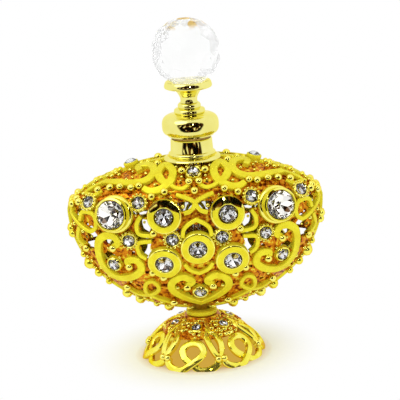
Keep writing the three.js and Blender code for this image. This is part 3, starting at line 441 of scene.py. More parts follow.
# Draws an outline of (side, height) corners along a row of frames, by extruding its end face.
def sweep(bm, outline, frames):
    corners = [bm.verts.new(frames[0] @ Vector((side, height, 0))) for side, height in outline]
    end = bm.faces.new(corners)
    for step, (before, after) in enumerate(zip(frames, frames[1:])):
        grown = bmesh.ops.extrude_face_region(bm, geom=[end])["geom"]
        if step:
            bmesh.ops.delete(bm, geom=[end], context="FACES_ONLY")
        end = next(item for item in grown if isinstance(item, bmesh.types.BMFace))
        moved = [item for item in grown if isinstance(item, bmesh.types.BMVert)]
        bmesh.ops.transform(bm, matrix=after @ before.inverted(), verts=moved)


# Points on a smooth line through given points, with a number of steps to each span.
def smooth_line(points, steps):
    line = [Vector(point) for point in points]
    padded = [2 * line[0] - line[1]] + line + [2 * line[-1] - line[-2]]
    spots = []
    for a, b, c, d in zip(padded, padded[1:], padded[2:], padded[3:]):
        for step in range(steps):
            t = step / steps
            bend = 2 * a - 5 * b + 4 * c - d
            twist = 3 * b - a - 3 * c + d
            spots.append(0.5 * (2 * b + (c - a) * t + bend * t**2 + twist * t**3))
    return spots + [line[-1]]


# The frame of a surface spot that a line passes along: X across it, Y outward, Z along it.
def line_frame(point, normal, along):
    across = along.cross(normal).normalized()
    outward = across.cross(along).normalized() * -1
    if outward.dot(normal) < 0:
        outward.negate()
    forward = across.cross(outward).normalized()
    turn = Matrix((across, outward, forward)).transposed().to_4x4()
    return Matrix.Translation(point) @ turn


# Frames along a row of (point, normal) spots, narrowed towards both ends by taper.
def line_frames(spots, taper=1.0):
    frames = []
    last = len(spots) - 1
    for i, (point, normal) in enumerate(spots):
        along = spots[min(i + 1, last)][0] - spots[max(i - 1, 0)][0]
        share = min(1, 4 * i / last, 4 * (last - i) / last)
        width = taper + (1 - taper) * math.sin(share * math.pi / 2)
        frames.append(line_frame(point, normal, along) @ Matrix.Diagonal((width, 1, 1, 1)))
    return frames


UPRIGHT = 0.99


# The frame of a stone or ring on a surface spot: Z outward, X level.
def seat_frame(point, normal):
    level = Vector((0, 1, 0)) if abs(normal.z) > UPRIGHT else Vector((0, 0, 1))
    x = level.cross(normal).normalized()
    y = normal.cross(x)
    return Matrix.Translation(point) @ Matrix((x, y, normal)).transposed().to_4x4()


# The casing's form

def power_at(up):
    return SKIRT_POWER if up < 0 else SHOULDER_POWER


def reach_of(across, up):
    power = power_at(up)
    return (abs(across)**power + abs(up)**power)**(1 / power)


# A spot on the front: across is a share of the half width, and up of the rise, or of the drop below.
def front_spot(across, up):
    height = DROP if up < 0 else RISE
    power = power_at(up)
    reach = reach_of(across, up)

    def slope(share):
        return 2 * reach**(2 - power) * math.copysign(abs(share)**(power - 1), share)

    depth = max(0.0, 1 - reach**2)**FULLNESS
    outward = depth**(1 / FULLNESS - 1) / FULLNESS / HALF_DEPTH
    point = Vector((across * HALF_WIDTH, -depth * HALF_DEPTH, WIDEST_Z + up * height))
    normal = Vector((slope(across) / HALF_WIDTH, -outward, slope(up) / height)).normalized()
    return point, normal


def ridge_spot(across):
    return front_spot(across, (1 - abs(across)**SHOULDER_POWER)**(1 / SHOULDER_POWER))


# The same for a flat plan of the front, a disc of radius 1 with even distances along the surface.
def plan_spot(across, up):
    share = min(1, math.hypot(across, up))
    turn = math.atan2(up, across)
    cos, sin = math.cos(turn), math.sin(turn)
    reach = math.sin(share * math.pi / 2) / reach_of(cos, sin)
    return front_spot(reach * cos, reach * sin)


def plan_place(across, up):
    share = math.asin(min(1, reach_of(across, up))) / (math.pi / 2)
    turn = math.atan2(up, across)
    return Vector((share * math.cos(turn), share * math.sin(turn), 0))


LINE_STEPS = 5
TIE_STEPS = 6


def front_line(points, steps=LINE_STEPS):
    flat = smooth_line([(across, up, 0) for across, up in points], steps)
    return [front_spot(place.x, place.y) for place in flat]


# Ornament of the right half of the front, as shares of the casing
SCROLLS = {
    "large": [(0.65, -0.28), (0.61, -0.24), (0.64, -0.18), (0.71, -0.18), (0.765, -0.25), (0.765, -0.4),
              (0.72, -0.53), (0.63, -0.6), (0.52, -0.58), (0.445, -0.5), (0.47, -0.41), (0.545, -0.41),
              (0.54, -0.46)],
    "heart": [(0.1, -0.68), (0.06, -0.63), (0.13, -0.58), (0.21, -0.63), (0.215, -0.72), (0.13, -0.81),
              (-0.02, -0.9)],
    "shoulder": [(0.405, 0.79), (0.425, 0.835), (0.375, 0.865), (0.318, 0.865), (0.3, 0.79), (0.344, 0.687),
                 (0.413, 0.627), (0.51, 0.605), (0.61, 0.605), (0.69, 0.59)],
    "looped": [(0.185, 0.63), (0.225, 0.632), (0.254, 0.69), (0.268, 0.78), (0.215, 0.885), (0.157, 0.81),
               (0.172, 0.665), (0.216, 0.571), (0.275, 0.502), (0.336, 0.486), (0.389, 0.533)],
}
WIRES = {
    "corner_curl": [(0.96, 0.1), (0.955, -0.02), (0.9, -0.1), (0.82, -0.15), (0.77, -0.08), (0.8, 0.04),
                    (0.87, 0.05), (0.9, -0.06)],
    "edge_arc": [(0.91, -0.12), (0.925, -0.24), (0.86, -0.33)],
    "lower_loop": [(0.57, -0.72), (0.48, -0.79), (0.38, -0.78), (0.32, -0.71), (0.36, -0.63), (0.42, -0.66),
                   (0.42, -0.76), (0.34, -0.83), (0.22, -0.89)],
    "upper_bracket": [(0.42, 0.02), (0.455, -0.06), (0.44, -0.15), (0.33, -0.17)],
    "lower_bracket": [(0.35, -0.22), (0.455, -0.24), (0.45, -0.34), (0.4, -0.39)],
    "bow": [(0.14, 0.42), (0.05, 0.34), (-0.01, 0.25)],
    "bow_tail": [(-0.01, 0.28), (0.035, 0.12), (0.09, 0.06)],
    "upper_chevron": [(-0.02, -0.02), (0.06, -0.07), (0.1, -0.12), (0.11, -0.19)],
    "lower_chevron": [(-0.02, -0.56), (0.07, -0.51), (0.11, -0.45)],
    "inner_arc": [(0.19, 0.6), (0.143, 0.54), (0.087, 0.522), (0.033, 0.596)],
    "ridge_loop": [(0.69, 0.59), (0.77, 0.5), (0.84, 0.38), (0.77, 0.37), (0.71, 0.45)],
}
TIES = [
    [(0.935, 0.26), (0.82, 0.34), (0.63, 0.46), (0.43, 0.5), (0.15, 0.48), (-0.01, 0.48)],
    [(0.09, -0.35), (0.2, -0.4)],
    [(0.08, -0.26), (0.19, -0.206), (0.23, -0.34)],
    [(0.34, -0.45), (0.46, -0.47)],
    [(0.62, -0.23), (0.525, -0.215), (0.45, -0.24)],
    [(0.525, -0.24), (0.53, -0.42)],
    [(0.61, -0.59), (0.655, -0.46), (0.765, -0.46)],
    [(0.765, -0.35), (0.937, -0.34)],
    [(0.57, -0.59), (0.57, -0.72)],
    [(0.5, -0.78), (0.55, -0.832)],
    [(0.3, -0.86), (0.37, -0.926)],
    [(0.33, -0.7), (0.2, -0.7)],
    [(0.34, -0.64), (0.28, -0.56)],
    [(0.09, 0.06), (0.15, 0.04)],
    [(0.14, 0.42), (0.15, 0.5)],
    [(0.33, 0.16), (0.432, 0.28), (0.43, 0.5)],
    [(0.432, 0.28), (0.53, 0.16)],
    [(0.62, 0.3), (0.63, 0.46)],
    [(0.74, 0.05), (0.8, 0.03)],
    [(0.5, 0.02), (0.42, 0.02)],
    [(0.66, -0.06), (0.69, -0.18)],
    [(0.82, 0.34), (0.82, 0.24)],
    [(0.82, 0.24), (0.94, 0.25)],
    [(0.19, 0.86), (0.15, 0.93)],
    [(0.35, 0.86), (0.37, 0.885)],
    [(0.51, 0.6), (0.5, 0.48)],
    [(0.83, 0.4), (0.855, 0.42)],
    [(0.95, 0), (0.99, 0)],
    [(0.8, -0.13), (0.75, -0.2)],
    [(0.92, -0.24), (0.966, -0.25)],
]
BEADS = [
    (0.95, 0.15), (0.895, 0.21), (0.91, 0.25), (0.74, 0.45), (0.645, 0.505), (0.566, 0.533), (0.481, 0.527),
    (0.42, 0.56), (0.227, 0.464), (0.267, 0.89), (0.088, 0.79), (0.038, 0.62), (0.327, 0.385), (0.86, -0.32),
    (0.65, -0.29), (0.535, -0.47), (0.1, -0.69), (0.565, -0.7), (0.355, -0.525), (0.275, -0.575),
    (0.21, -0.87), (0.33, -0.14),
]
MIDDLE_BEADS = [(0, 0.469)]
BEAD_RADIUS = 1.25
BEAD_LIFT = 0.6

PAIRED_STONES = {
    "large": (LARGE_STONE, (0.62, 0.06)),
    "upper_ring": (UPPER_STONE, (0.241, 0.014)),
    "lower_ring": (RING_STONE, (0.26, -0.43)),
    "upper": (SMALL_STONE, (0.432, 0.28)),
    "inner": (SMALL_STONE, (0.19, -0.206)),
    "corner": (SMALL_STONE, (0.82, 0.24)),
    "outer": (SMALL_STONE, (0.525, -0.215)),
    "scroll": (SMALL_STONE, (0.655, -0.46)),
}
MIDDLE_STONES = {
    "centre_ring": (RING_STONE, (0, -0.297)),
    "heart": (SMALL_STONE, (0, -0.76)),
    "shoulder": (SMALL_STONE, (0, 0.78)),
}
HALOED_STONES = ("upper", "corner", "outer", "inner")
SIDES = {"left": -1, "right": 1}


# Every stone of the front as its full name, its short name, its kind and its seat
def front_stones():
    stones = []
    for name, (kind, (across, up)) in PAIRED_STONES.items():
        for word, side in SIDES.items():
            stones.append((f"{name}_stone_{word}", name, kind, seat_frame(*front_spot(side * across, up))))
    for name, (kind, (across, up)) in MIDDLE_STONES.items():
        stones.append((f"{name}_stone", name, kind, seat_frame(*front_spot(across, up))))
    return stones


# Outlines of the drawn lines, as (side, height)
def flat_outline(half, top, ease):
    return [
        (-half, BAND_ROOT), (-half, top - ease), (-half + ease, top),
        (half - ease, top), (half, top - ease), (half, BAND_ROOT),
    ]


band_outline = flat_outline(1.15, BAND_TOP, 0.2)
wire_outline = flat_outline(0.62, WIRE_TOP, 0.2)
tie_outline = flat_outline(0.5, TIE_TOP, 0.3)


# Cuts a right half at the middle plane and mirrors it to the left.
def mirror_half(bm):
    cut_away(bm, place=(0, 0, 0), outward=(-1, 0, 0))
    bmesh.ops.mirror(bm, geom=everything_of(bm), merge_dist=SEAM_MERGE_DISTANCE, axis="X")
    return faced_outward(bm)


# Makes a piece for the front, and the same piece turned about Z for the back.
def make_halves(name, bm, materials, casing_node=False, edge_angle=EDGE_ANGLE):
    turned = bm.copy()
    turn_about(turned, math.pi)
    for half, half_bm in (("front", bm), ("back", turned)):
        nodes = (f"{half}_casing",) if casing_node else ()
        make_piece(f"{half}_{name}", half_bm, materials, nodes, edge_angle=edge_angle)


def draw_lines(lines, outline, taper):
    bm = bmesh.new()
    for points in lines.values():
        sweep(bm, outline, line_frames(front_line(points), taper))
    return mirror_half(bm)


# Stones whose backs reach into the casing, as the middle and radius of the place kept clear for each
SUNK = 1.2
STONE_CLEAR = 0.4
sunk_stones = [
    (seat.translation, kind["radius"] + STONE_CLEAR)
    for _, _, kind, seat in front_stones() if kind is not LARGE_STONE
]


# How far the ground and the ties are sunk at a spot, so that they pass below the back of a stone.
def sunk_at(point):
    below_stone = any((point - middle).length < radius for middle, radius in sunk_stones)
    return SUNK if below_stone else 0


def draw_ties():
    bm = bmesh.new()
    for points in TIES:
        line = front_line(points, TIE_STEPS)
        spots = [(point - normal * sunk_at(point), normal) for point, normal in line]
        sweep(bm, tie_outline, line_frames(spots))
    return mirror_half(bm)


make_halves("scrolls", draw_lines(SCROLLS, band_outline, taper=0.75), [satin_gilt], casing_node=True)
make_halves("wires", draw_lines(WIRES, wire_outline, taper=0.9), [satin_gilt])
make_halves("ties", draw_ties(), [painted_shade_ground_gilt])


# The pierced ground between the scrolls: a jittered net laid on the form, with some of its cells open
GROUND_CELLS = 58
GROUND_SPREAD = 1.42
GROUND_EDGE = 0.95
GROUND_JITTER = 0.28
GROUND_WEB = 0.5
PLAN_LENGTH = 41.0
NECK_CLEAR_RADIUS = 7.2
NECK_CLEAR_Z = 56.0
OPEN_SHARE = 0.42
OPEN_SPOTS = [
    (0.92, 0.04), (0.93, -0.06), (0.825, -0.19), (0.832, -0.22), (0.8, -0.2), (0.84, -0.33), (0.686, -0.227),
    (0.70, -0.42), (0.372, -0.095), (0.40, -0.35), (0.42, 0.1), (0.445, -0.21), (0.082, 0.21), (0.088, -0.18),
]
OPEN_REACH = 0.048
OPEN_REACH_BEHIND = 0.075
SIGHT_STEP = 0.5
SIGHT_STEPS = 120


def in_neck(point):
    return point.z > NECK_CLEAR_Z and math.hypot(point.x, point.y) < NECK_CLEAR_RADIUS


# The openings of the back that the camera sees through those of the front, as places of its plan.
def openings_behind():
    places = []
    camera = CAMERA_PLACE / MM
    for across, up in OPEN_SPOTS:
        point, _ = front_spot(across, up)
        ahead = (point - camera).normalized()
        for step in range(1, SIGHT_STEPS):
            spot = point + ahead * (step * SIGHT_STEP)
            height = spot.z - WIDEST_Z
            share = (spot.x / HALF_WIDTH, height / (DROP if height < 0 else RISE))
            reach = min(1, reach_of(*share))
            if spot.y > HALF_DEPTH * (1 - reach**2)**FULLNESS:
                places.append(plan_place(*share))
                break
    return places


# Whether a cell is open, by a chance that is the same on both sides of the middle.
def is_pierced(middle):
    seed = round(abs(middle.x) * 1e4) * 7919 + round(middle.y * 1e4)
    return random.Random(seed).random() < OPEN_SHARE


def lay_ground(open_places, open_reach):
    scatter = random.Random(11)
    bm = bmesh.new()
    bmesh.ops.create_grid(bm, x_segments=GROUND_CELLS, y_segments=GROUND_CELLS, size=GROUND_SPREAD)
    turn_about(bm, math.pi / 4)
    reach = GROUND_JITTER * 2 * GROUND_SPREAD / GROUND_CELLS
    for vert in bm.verts:
        vert.co.x += scatter.uniform(-reach, reach)
        vert.co.y += scatter.uniform(-reach, reach)
    outside = []
    for face in bm.faces:
        middle = face.calc_center_median()
        point, _ = plan_spot(middle.x, middle.y)
        near_opening = any((middle - place).length < open_reach for place in open_places)
        if middle.length > GROUND_EDGE or in_neck(point) or middle.x < -reach * 3 or near_opening:
            outside.append(face)
    bmesh.ops.delete(bm, geom=outside, context="FACES")
    mirror_half(bm)
    cells = bm.faces[:]
    bmesh.ops.inset_individual(bm, faces=cells, thickness=GROUND_WEB / PLAN_LENGTH, use_even_offset=True)
    pierced = [face for face in cells if is_pierced(face.calc_center_median())]
    bmesh.ops.delete(bm, geom=pierced, context="FACES")
    lower = bmesh.ops.extrude_face_region(bm, geom=bm.faces[:])["geom"]
    lower_verts = [item for item in lower if isinstance(item, bmesh.types.BMVert)]
    bmesh.ops.translate(bm, vec=(0, 0, -GROUND_THICKNESS), verts=lower_verts)
    for vert in bm.verts:
        point, normal = plan_spot(vert.co.x, vert.co.y)
        vert.co = point + normal * (GROUND_TOP + vert.co.z - sunk_at(point))
    return faced_outward(bm)


front_openings = [plan_place(across, up) for across, up in OPEN_SPOTS]
front_ground = lay_ground(front_openings, OPEN_REACH)
back_ground = lay_ground(openings_behind(), OPEN_REACH_BEHIND)
turn_about(back_ground, math.pi)
for name, bm in (("front_ground", front_ground), ("back_ground", back_ground)):
    piece = make_piece(name, bm, [painted_shade_ground_gilt])
    rounding = piece.modifiers.new("rounding", "SUBSURF")
    rounding.levels = 1
    rounding.render_levels = 1


# Beads and granules

def set_bead(bm, point, normal, radius, lift, subdivisions=2, tone=0):
    place = Matrix.Translation(point + normal * lift)
    bead = bmesh.ops.create_icosphere(bm, subdivisions=subdivisions, radius=radius, matrix=place)
    for vert in bead["verts"]:
        for face in vert.link_faces:
            face.material_index = tone


# Sets a bead on the right of the front and its mirror image on the left.
def set_pair(bm, point, normal, radius, lift, subdivisions=2):
    for side in SIDES.values():
        flip = Vector((side, 1, 1))
        set_bead(bm, point * flip, normal * flip, radius, lift, subdivisions)


def lay_beads():
    bm = bmesh.new()
    for across, up in BEADS:
        set_pair(bm, *front_spot(across, up), BEAD_RADIUS, BEAD_LIFT)
    for across, up in MIDDLE_BEADS:
        set_bead(bm, *front_spot(across, up), BEAD_RADIUS, BEAD_LIFT)
    return bm


make_halves("beads", lay_beads(), [bead_gilt])

# Settings of the stones
setting_profiles = {
    "bezel": [
        (4.3, -0.6), (5.6, -0.6), (5.6, 0.2), (5.4, 0.6), (4.95, 0.85), (4.8, 1.4), (4.85, 2.4), (5.05, 2.8),
        (5.0, 3.2), (4.7, 3.45), (4.45, 3.45), (4.3, 3.25),
    ],
    "ring": [
        (2.65, -1.0), (5.05, -1.0), (5.05, 0.8), (4.9, 1.1), (4.6, 1.25), (2.95, 1.45), (2.75, 1.4),
        (2.65, 1.2),
    ],
    "collet": [
        (1.85, -1.0), (2.5, -1.0), (2.55, 0.1), (2.35, 0.6), (2.05, 0.85), (1.85, 0.7),
    ],
    "foot_collet": [
        (1.35, -0.8), (1.95, -0.8), (2.0, 0.0), (1.8, 0.5), (1.5, 0.65), (1.35, 0.5),
    ],
}
setting_reach = {"bezel": 5.6, "ring": 5.05, "collet": 2.9, "foot_collet": 2.0}
BEVEL_LEANS = (0.35, 0.98)
RING_CUT_LEAN = math.radians(21)
RING_CUT_TURNS = (-34, 0, 34)
HALO_GRANULES = 14
HALO_RADIUS = 2.5
HALO_GRANULE = 0.5
HALO_LIFT = 0.4


# Cuts sloping flats side by side along the top of a ring or a bezel.
def cut_ring(bm, place):
    outward = Vector((0, math.sin(RING_CUT_LEAN), math.cos(RING_CUT_LEAN)))
    for degrees in RING_CUT_TURNS:
        turn = Matrix.Rotation(math.radians(degrees), 3, "Z")
        cut_away(bm, turn @ Vector(place), turn @ outward, bmesh.ops.holes_fill)


# Turns a setting in its seat, with its sloping faces polished and its flat faces satin.
def turn_setting(bm, kind, seat):
    ring = turn_profile(setting_profiles[kind["setting"]], SMALL_ROUND_STEPS)
    if "cut" in kind:
        cut_ring(ring, kind["cut"])
    ring.normal_update()
    for face in ring.faces:
        face.material_index = int(BEVEL_LEANS[0] < abs(face.normal.z) < BEVEL_LEANS[1])
    bmesh.ops.transform(ring, matrix=seat, verts=ring.verts)
    mesh = bpy.data.meshes.new("setting")
    ring.to_mesh(mesh)
    ring.free()
    bm.from_mesh(mesh)
    bpy.data.meshes.remove(mesh)


def lay_settings(seats):
    bm = bmesh.new()
    for kind, seat in seats:
        turn_setting(bm, kind, seat)
    return faced_outward(bm)


def lay_halos():
    bm = bmesh.new()
    for _, name, kind, seat in front_stones():
        if name not in HALOED_STONES:
            continue
        for step in range(HALO_GRANULES):
            turn = math.tau * step / HALO_GRANULES
            spot = seat @ Vector((HALO_RADIUS * math.cos(turn), HALO_RADIUS * math.sin(turn), HALO_LIFT))
            set_bead(bm, spot, Vector(), HALO_GRANULE, 0, 1)
    return bm


front_seats = [(kind, seat) for _, _, kind, seat in front_stones()]
make_halves("settings", lay_settings(front_seats), [satin_gilt, bead_gilt])
make_halves("halos", lay_halos(), [bead_gilt], edge_angle=math.pi)

# Small granules that fill the ground where it is free of scrolls, wires, stones and beads
GRANULES = 56
GRANULE_SIZES = (0.4, 0.85)
GRANULE_SPACING = 1.25
SETTING_CLEAR = 0.3
SCROLL_CLEAR = 1.5
WIRE_CLEAR = 1.1
BEAD_CLEAR = 1.7


def busy_spots():
    spots = []
    for kind, seat in front_seats:
        spots.append((seat.translation, setting_reach[kind["setting"]] + SETTING_CLEAR))
    for lines, clear in ((SCROLLS, SCROLL_CLEAR), (WIRES, WIRE_CLEAR)):
        for points in lines.values():
            spots += [(point, clear) for point, _ in front_line(points)]
    spots += [(front_spot(*at)[0], BEAD_CLEAR) for at in BEADS + MIDDLE_BEADS]
    return spots


def lay_granules():
    scatter = random.Random(23)
    busy = busy_spots()
    bm = bmesh.new()
    laid = 0
    while laid < GRANULES:
        share = GROUND_EDGE * math.sqrt(scatter.random())
        turn = scatter.uniform(-math.pi / 2, math.pi / 2)
        size = scatter.uniform(*GRANULE_SIZES)
        point, normal = plan_spot(share * math.cos(turn), share * math.sin(turn))
        if point.x < size or in_neck(point) or any((point - spot).length < clear for spot, clear in busy):
            continue
        set_pair(bm, point, normal, size, 0, 1)
        busy.append((point, GRANULE_SPACING))
        laid += 1
    return bm


make_halves("granules", lay_granules(), [bead_gilt], edge_angle=math.pi)

# A round stone cut with a table, a crown and a foil-backed pavilion, some of whose facets are backed with a
# dark foil, a painted dark reflection
CROWN_BREAK = 0.55
CROWN_SPREAD = 0.57
PAVILION_BREAK = 0.52
PAVILION_SHARE = 0.55
FACET_TURN = math.pi / 8
FLAT_ANGLE = math.radians(0.5)
BACK_LEAN = -0.1
PAINTED_DARK_FACET_STEP = 3
LARGE_PAINTED_DARK_FACET_STEP = 8


def cut_stone(kind, seat):
    radius, above, below = kind["radius"], kind["above"], kind["below"]
    bm = bmesh.new()
    crown_share = CROWN_SPREAD + (1 - CROWN_SPREAD) * kind["table"]
    rings = [
        (8, radius * kind["table"], above, 0),
        (8, radius * crown_share, GIRDLE + (above - GIRDLE) * CROWN_BREAK, FACET_TURN),
        (16, radius, GIRDLE, 0),
        (16, radius, 0, 0),
        (8, radius * PAVILION_SHARE, -below * PAVILION_BREAK, FACET_TURN),
    ]
    for sides, ring_radius, height, phase in rings:
        place = Matrix.Translation((0, 0, height)) @ Matrix.Rotation(phase, 4, "Z")
        bmesh.ops.create_circle(bm, segments=sides, radius=ring_radius, matrix=place)
    bm.verts.new((0, 0, -below))
    bmesh.ops.convex_hull(bm, input=bm.verts[:])
    bmesh.ops.dissolve_limit(bm, angle_limit=FLAT_ANGLE, verts=bm.verts[:], edges=bm.edges[:])
    faced_outward(bm)
    # Every few back facets take the dark foil, a painted dark reflection.
    painted_dark_step = LARGE_PAINTED_DARK_FACET_STEP if kind is LARGE_STONE else PAINTED_DARK_FACET_STEP
    for face in bm.faces:
        if face.normal.z < BACK_LEAN:
            step = math.floor(math.atan2(face.normal.y, face.normal.x) / FACET_TURN)
            face.material_index = 1 if step % painted_dark_step else 2
    place = seat @ Matrix.Translation((0, 0, kind["proud"] - GIRDLE))
    bmesh.ops.transform(bm, matrix=place, verts=bm.verts)
    return bm


def set_stone(name, kind, seat, nodes):
    materials = [cut_crystal, pale_foil if kind is LARGE_STONE else foil, painted_dark_reflection_foil]
    make_piece(f"{name}_cut", cut_stone(kind, seat), materials, nodes, smooth=False)


about_face = Matrix.Rotation(math.pi, 4, "Z")
for name, _, kind, seat in front_stones():
    for half, turn in (("front", Matrix()), ("back", about_face)):
        node = f"{half}_{name}"
        set_stone(node, kind, turn @ seat, (node,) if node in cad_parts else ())

# The two stones that stand up on the ridge, each in a cup that bridges the seam
CROWN_ACROSS = 0.476
CROWN_CUP_HEIGHT = 0.3
CROWN_LIFT = 0.65
crown_profile = [
    (0, -2.1), (2.2, -2.1), (1.9, -1.7), (1.8, -1.2), (2.05, -0.5), (2.25, 0.0), (2.25, 0.4), (2.1, 0.65),
    (1.8, 0.65), (1.8, -0.5), (0, -1.0),
]
for word, side in SIDES.items():
    point, normal = ridge_spot(side * CROWN_ACROSS)
    seat = seat_frame(point + normal * (CROWN_LIFT + CROWN_CUP_HEIGHT), normal)
    cup = faced_outward(turn_profile(crown_profile, SMALL_ROUND_STEPS, seat))
    make_piece(f"crown_cup_{word}", cup, [satin_gilt], (f"crown_setting_{word}",))
    set_stone(f"crown_stone_{word}", SMALL_STONE, seat, (f"crown_stone_{word}",))

# The rim along the seam: a wire on each half, set with beads
RIM_SHARE = 0.972
RIM_STEPS = 120
RIM_OVERRUN = 0.02
RIM_BEAD_JITTER = 0.4
RIM_BEAD_LIFT = 0.2
rim_outline = [
    (-0.6, -0.9), (-0.65, -0.1), (-0.4, 0.3), (0, 0.4), (0.4, 0.3), (0.65, -0.1), (0.6, -0.9),
]
SKIRT_BEADS = {"share": 0.95, "turns": (-82, -8), "count": 11, "sizes": (1.0, 1.9)}
SHOULDER_BEADS = {"share": 0.955, "turns": (12, 78), "count": 10, "sizes": (0.5, 0.9)}


def lay_rim():
    bm = bmesh.new()
    spots = []
    for step in range(RIM_STEPS + 1):
        turn = -math.pi / 2 - RIM_OVERRUN + (math.pi + 2 * RIM_OVERRUN) * step / RIM_STEPS
        spots.append(plan_spot(RIM_SHARE * math.cos(turn), RIM_SHARE * math.sin(turn)))
    sweep(bm, rim_outline, line_frames(spots))
    return mirror_half(bm)


def lay_rim_beads():
    scatter = random.Random(31)
    bm = bmesh.new()
    for row in (SKIRT_BEADS, SHOULDER_BEADS):
        first, last = row["turns"]
        spacing = (last - first) / (row["count"] - 1)
        for step in range(row["count"]):
            shift = scatter.uniform(-RIM_BEAD_JITTER, RIM_BEAD_JITTER)
            turn = math.radians(first + spacing * (step + shift))
            size = scatter.uniform(*row["sizes"])
            spot = plan_spot(row["share"] * math.cos(turn), row["share"] * math.sin(turn))
            set_pair(bm, *spot, size, RIM_BEAD_LIFT)
    return bm


make_halves("rim", lay_rim(), [satin_gilt])
make_halves("rim_beads", lay_rim_beads(), [hammered_gilt])

# Turned pieces of the neck and the stopper
ARC_STEPS = 12
ARC_POWER = 2.6


# A quarter of a turned bulge, flatter than a circle about its widest line.
def arc_profile(from_radius, to_radius, from_z, to_z):
    profile = []
    for step in range(ARC_STEPS + 1):
        rise = math.sin(math.pi / 2 * step / ARC_STEPS)
        run = (1 - rise**ARC_POWER)**(1 / ARC_POWER)
        profile.append((to_radius + (from_radius - to_radius) * run, from_z + (to_z - from_z) * rise))
    return profile


# Profile corners given as (radius, height above a base).
def raised(base, *corners):
    return [(radius, base + height) for radius, height in corners]


COLLAR_BORE = 5.05
flange_top = COLLAR_SEAT_Z + 1.2
ring_top = flange_top + 1.3
collar_profile = [
    *raised(COLLAR_SEAT_Z, (COLLAR_BORE, 0), (7.9, 0), (8.45, 0.2), (8.55, 0.45), (8.4, 0.75)),
    *raised(flange_top, (7.9, -0.1), (7.2, 0), (6.75, 0.12), (6.95, 0.4), (7.0, 0.65), (6.9, 0.95)),
    *raised(ring_top, (6.6, -0.1), (6.4, 0), (6.3, 0.3)),
    *raised(COLLAR_TOP_Z, (6.12, -0.25), (5.9, 0), (COLLAR_BORE, 0)),
]
STUD_BORE = 1.35
PLUG_SOCKET = 5.35
BULB_RADIUS = 8.4
BULB_WIDEST_SHARE = 0.48
socket_top = BULB_BOTTOM_Z + 1.65
widest_bulb = BULB_BOTTOM_Z + (BULB_TOP_Z - BULB_BOTTOM_Z) * BULB_WIDEST_SHARE
lower_bulb = arc_profile(BULB_RADIUS, 6.55, widest_bulb, BULB_BOTTOM_Z + 0.55)
upper_bulb = arc_profile(BULB_RADIUS, 5.1, widest_bulb, BULB_TOP_Z - 0.15)
bulb_profile = [
    (STUD_BORE, socket_top), (PLUG_SOCKET, socket_top),
    *raised(BULB_BOTTOM_Z, (PLUG_SOCKET, 0), (6.55, 0), (6.75, 0.12), (6.75, 0.4)),
    *reversed(lower_bulb), *upper_bulb[1:],
    *raised(BULB_TOP_Z, (4.9, 0), (STUD_BORE, 0)),
]
step_z = STEM_BOTTOM_Z + 1.5
stem_profile = [
    *raised(STEM_BOTTOM_Z, (STUD_BORE, 0), (4.3, 0), (4.55, 0.25), (4.6, 0.6)),
    *raised(step_z, (4.5, -0.35), (4.2, -0.08), (3.7, 0), (3.3, 0.15), (3.4, 0.5)),
    *raised(STEM_TOP_Z, (3.38, -0.6), (3.1, -0.15), (2.9, 0), (STUD_BORE, 0)),
]
funnel_top = CUP_BOTTOM_Z + 4
cup_floor = funnel_top + 1.1
stud_top = funnel_top - 1.1
cup_profile = [
    (0, stud_top), (STUD_BORE, stud_top),
    *raised(CUP_BOTTOM_Z, (STUD_BORE, 0), (2.6, 0), (2.45, 0.7), (2.55, 1.5), (2.9, 2.3), (3.4, 3.1)),
    *raised(funnel_top, (4.1, -0.2), (5.4, 0.1), (6.5, 0.3), (6.9, 0.5), (7.05, 0.8), (7.0, 1.3)),
    *raised(CUP_RIM_Z, (6.85, -0.55), (6.6, -0.1), (6.45, 0), (6.3, 0), (6.15, -0.15)),
    (2.15, cup_floor), (0, cup_floor),
]
waist_profile = [
    *raised(WAIST_BOTTOM_Z, (SCREW_BORE, 0), (4.2, 0), (4.55, 0.2), (4.7, 0.55)),
    *raised(WAIST_TOP_Z, (4.7, -0.75), (4.5, -0.6), (4.5, -0.45), (4.65, -0.3), (4.5, -0.1)),
    *raised(WAIST_TOP_Z, (4.2, 0), (SCREW_BORE, 0)),
]

# Turned pieces inside the bottle, seen when the stopper is lifted
VIAL_RADIUS = 6.4
VIAL_NECK_RADIUS = 4.9
VIAL_WALL = 1.0
VIAL_HEEL = 1.5
vial_inner = VIAL_RADIUS - VIAL_WALL
vial_neck_inner = VIAL_NECK_RADIUS - VIAL_WALL
vial_shoulder_z = 55.0
vial_shoulder_start = vial_shoulder_z - 2.5
vial_floor_top = VIAL_FLOOR_Z + VIAL_WALL
vial_profile = [
    *raised(VIAL_FLOOR_Z, (0, 0), (VIAL_RADIUS - VIAL_HEEL, 0), (VIAL_RADIUS - 0.45, 0.45)),
    (VIAL_RADIUS, VIAL_FLOOR_Z + VIAL_HEEL),
    *raised(vial_shoulder_start, (VIAL_RADIUS, -0.4), (VIAL_RADIUS - 0.2, 0.4)),
    *raised(vial_shoulder_z, (VIAL_NECK_RADIUS + 0.2, -0.5), (VIAL_NECK_RADIUS, 0)),
    *raised(VIAL_LIP_Z, (VIAL_NECK_RADIUS, -0.25), (VIAL_NECK_RADIUS - 0.25, 0)),
    *raised(VIAL_LIP_Z, (vial_neck_inner + 0.2, 0), (vial_neck_inner, -0.2)),
    (vial_neck_inner, vial_shoulder_z - VIAL_WALL),
    (vial_inner, vial_shoulder_start - VIAL_WALL),
    *raised(vial_floor_top, (vial_inner, VIAL_HEEL), (vial_inner - VIAL_HEEL, 0), (0, 0)),
]
PLUG_RADIUS = 3.8
PLUG_FLANGE_RADIUS = 5.2
SEAL_BORE = PLUG_RADIUS + 0.1
DAUBER_RADIUS = 1.1
DAUBER_BORE = 1.25
DAUBER_TIP_RADIUS = 1.7
grip_top = PLUG_TIP_Z + 5
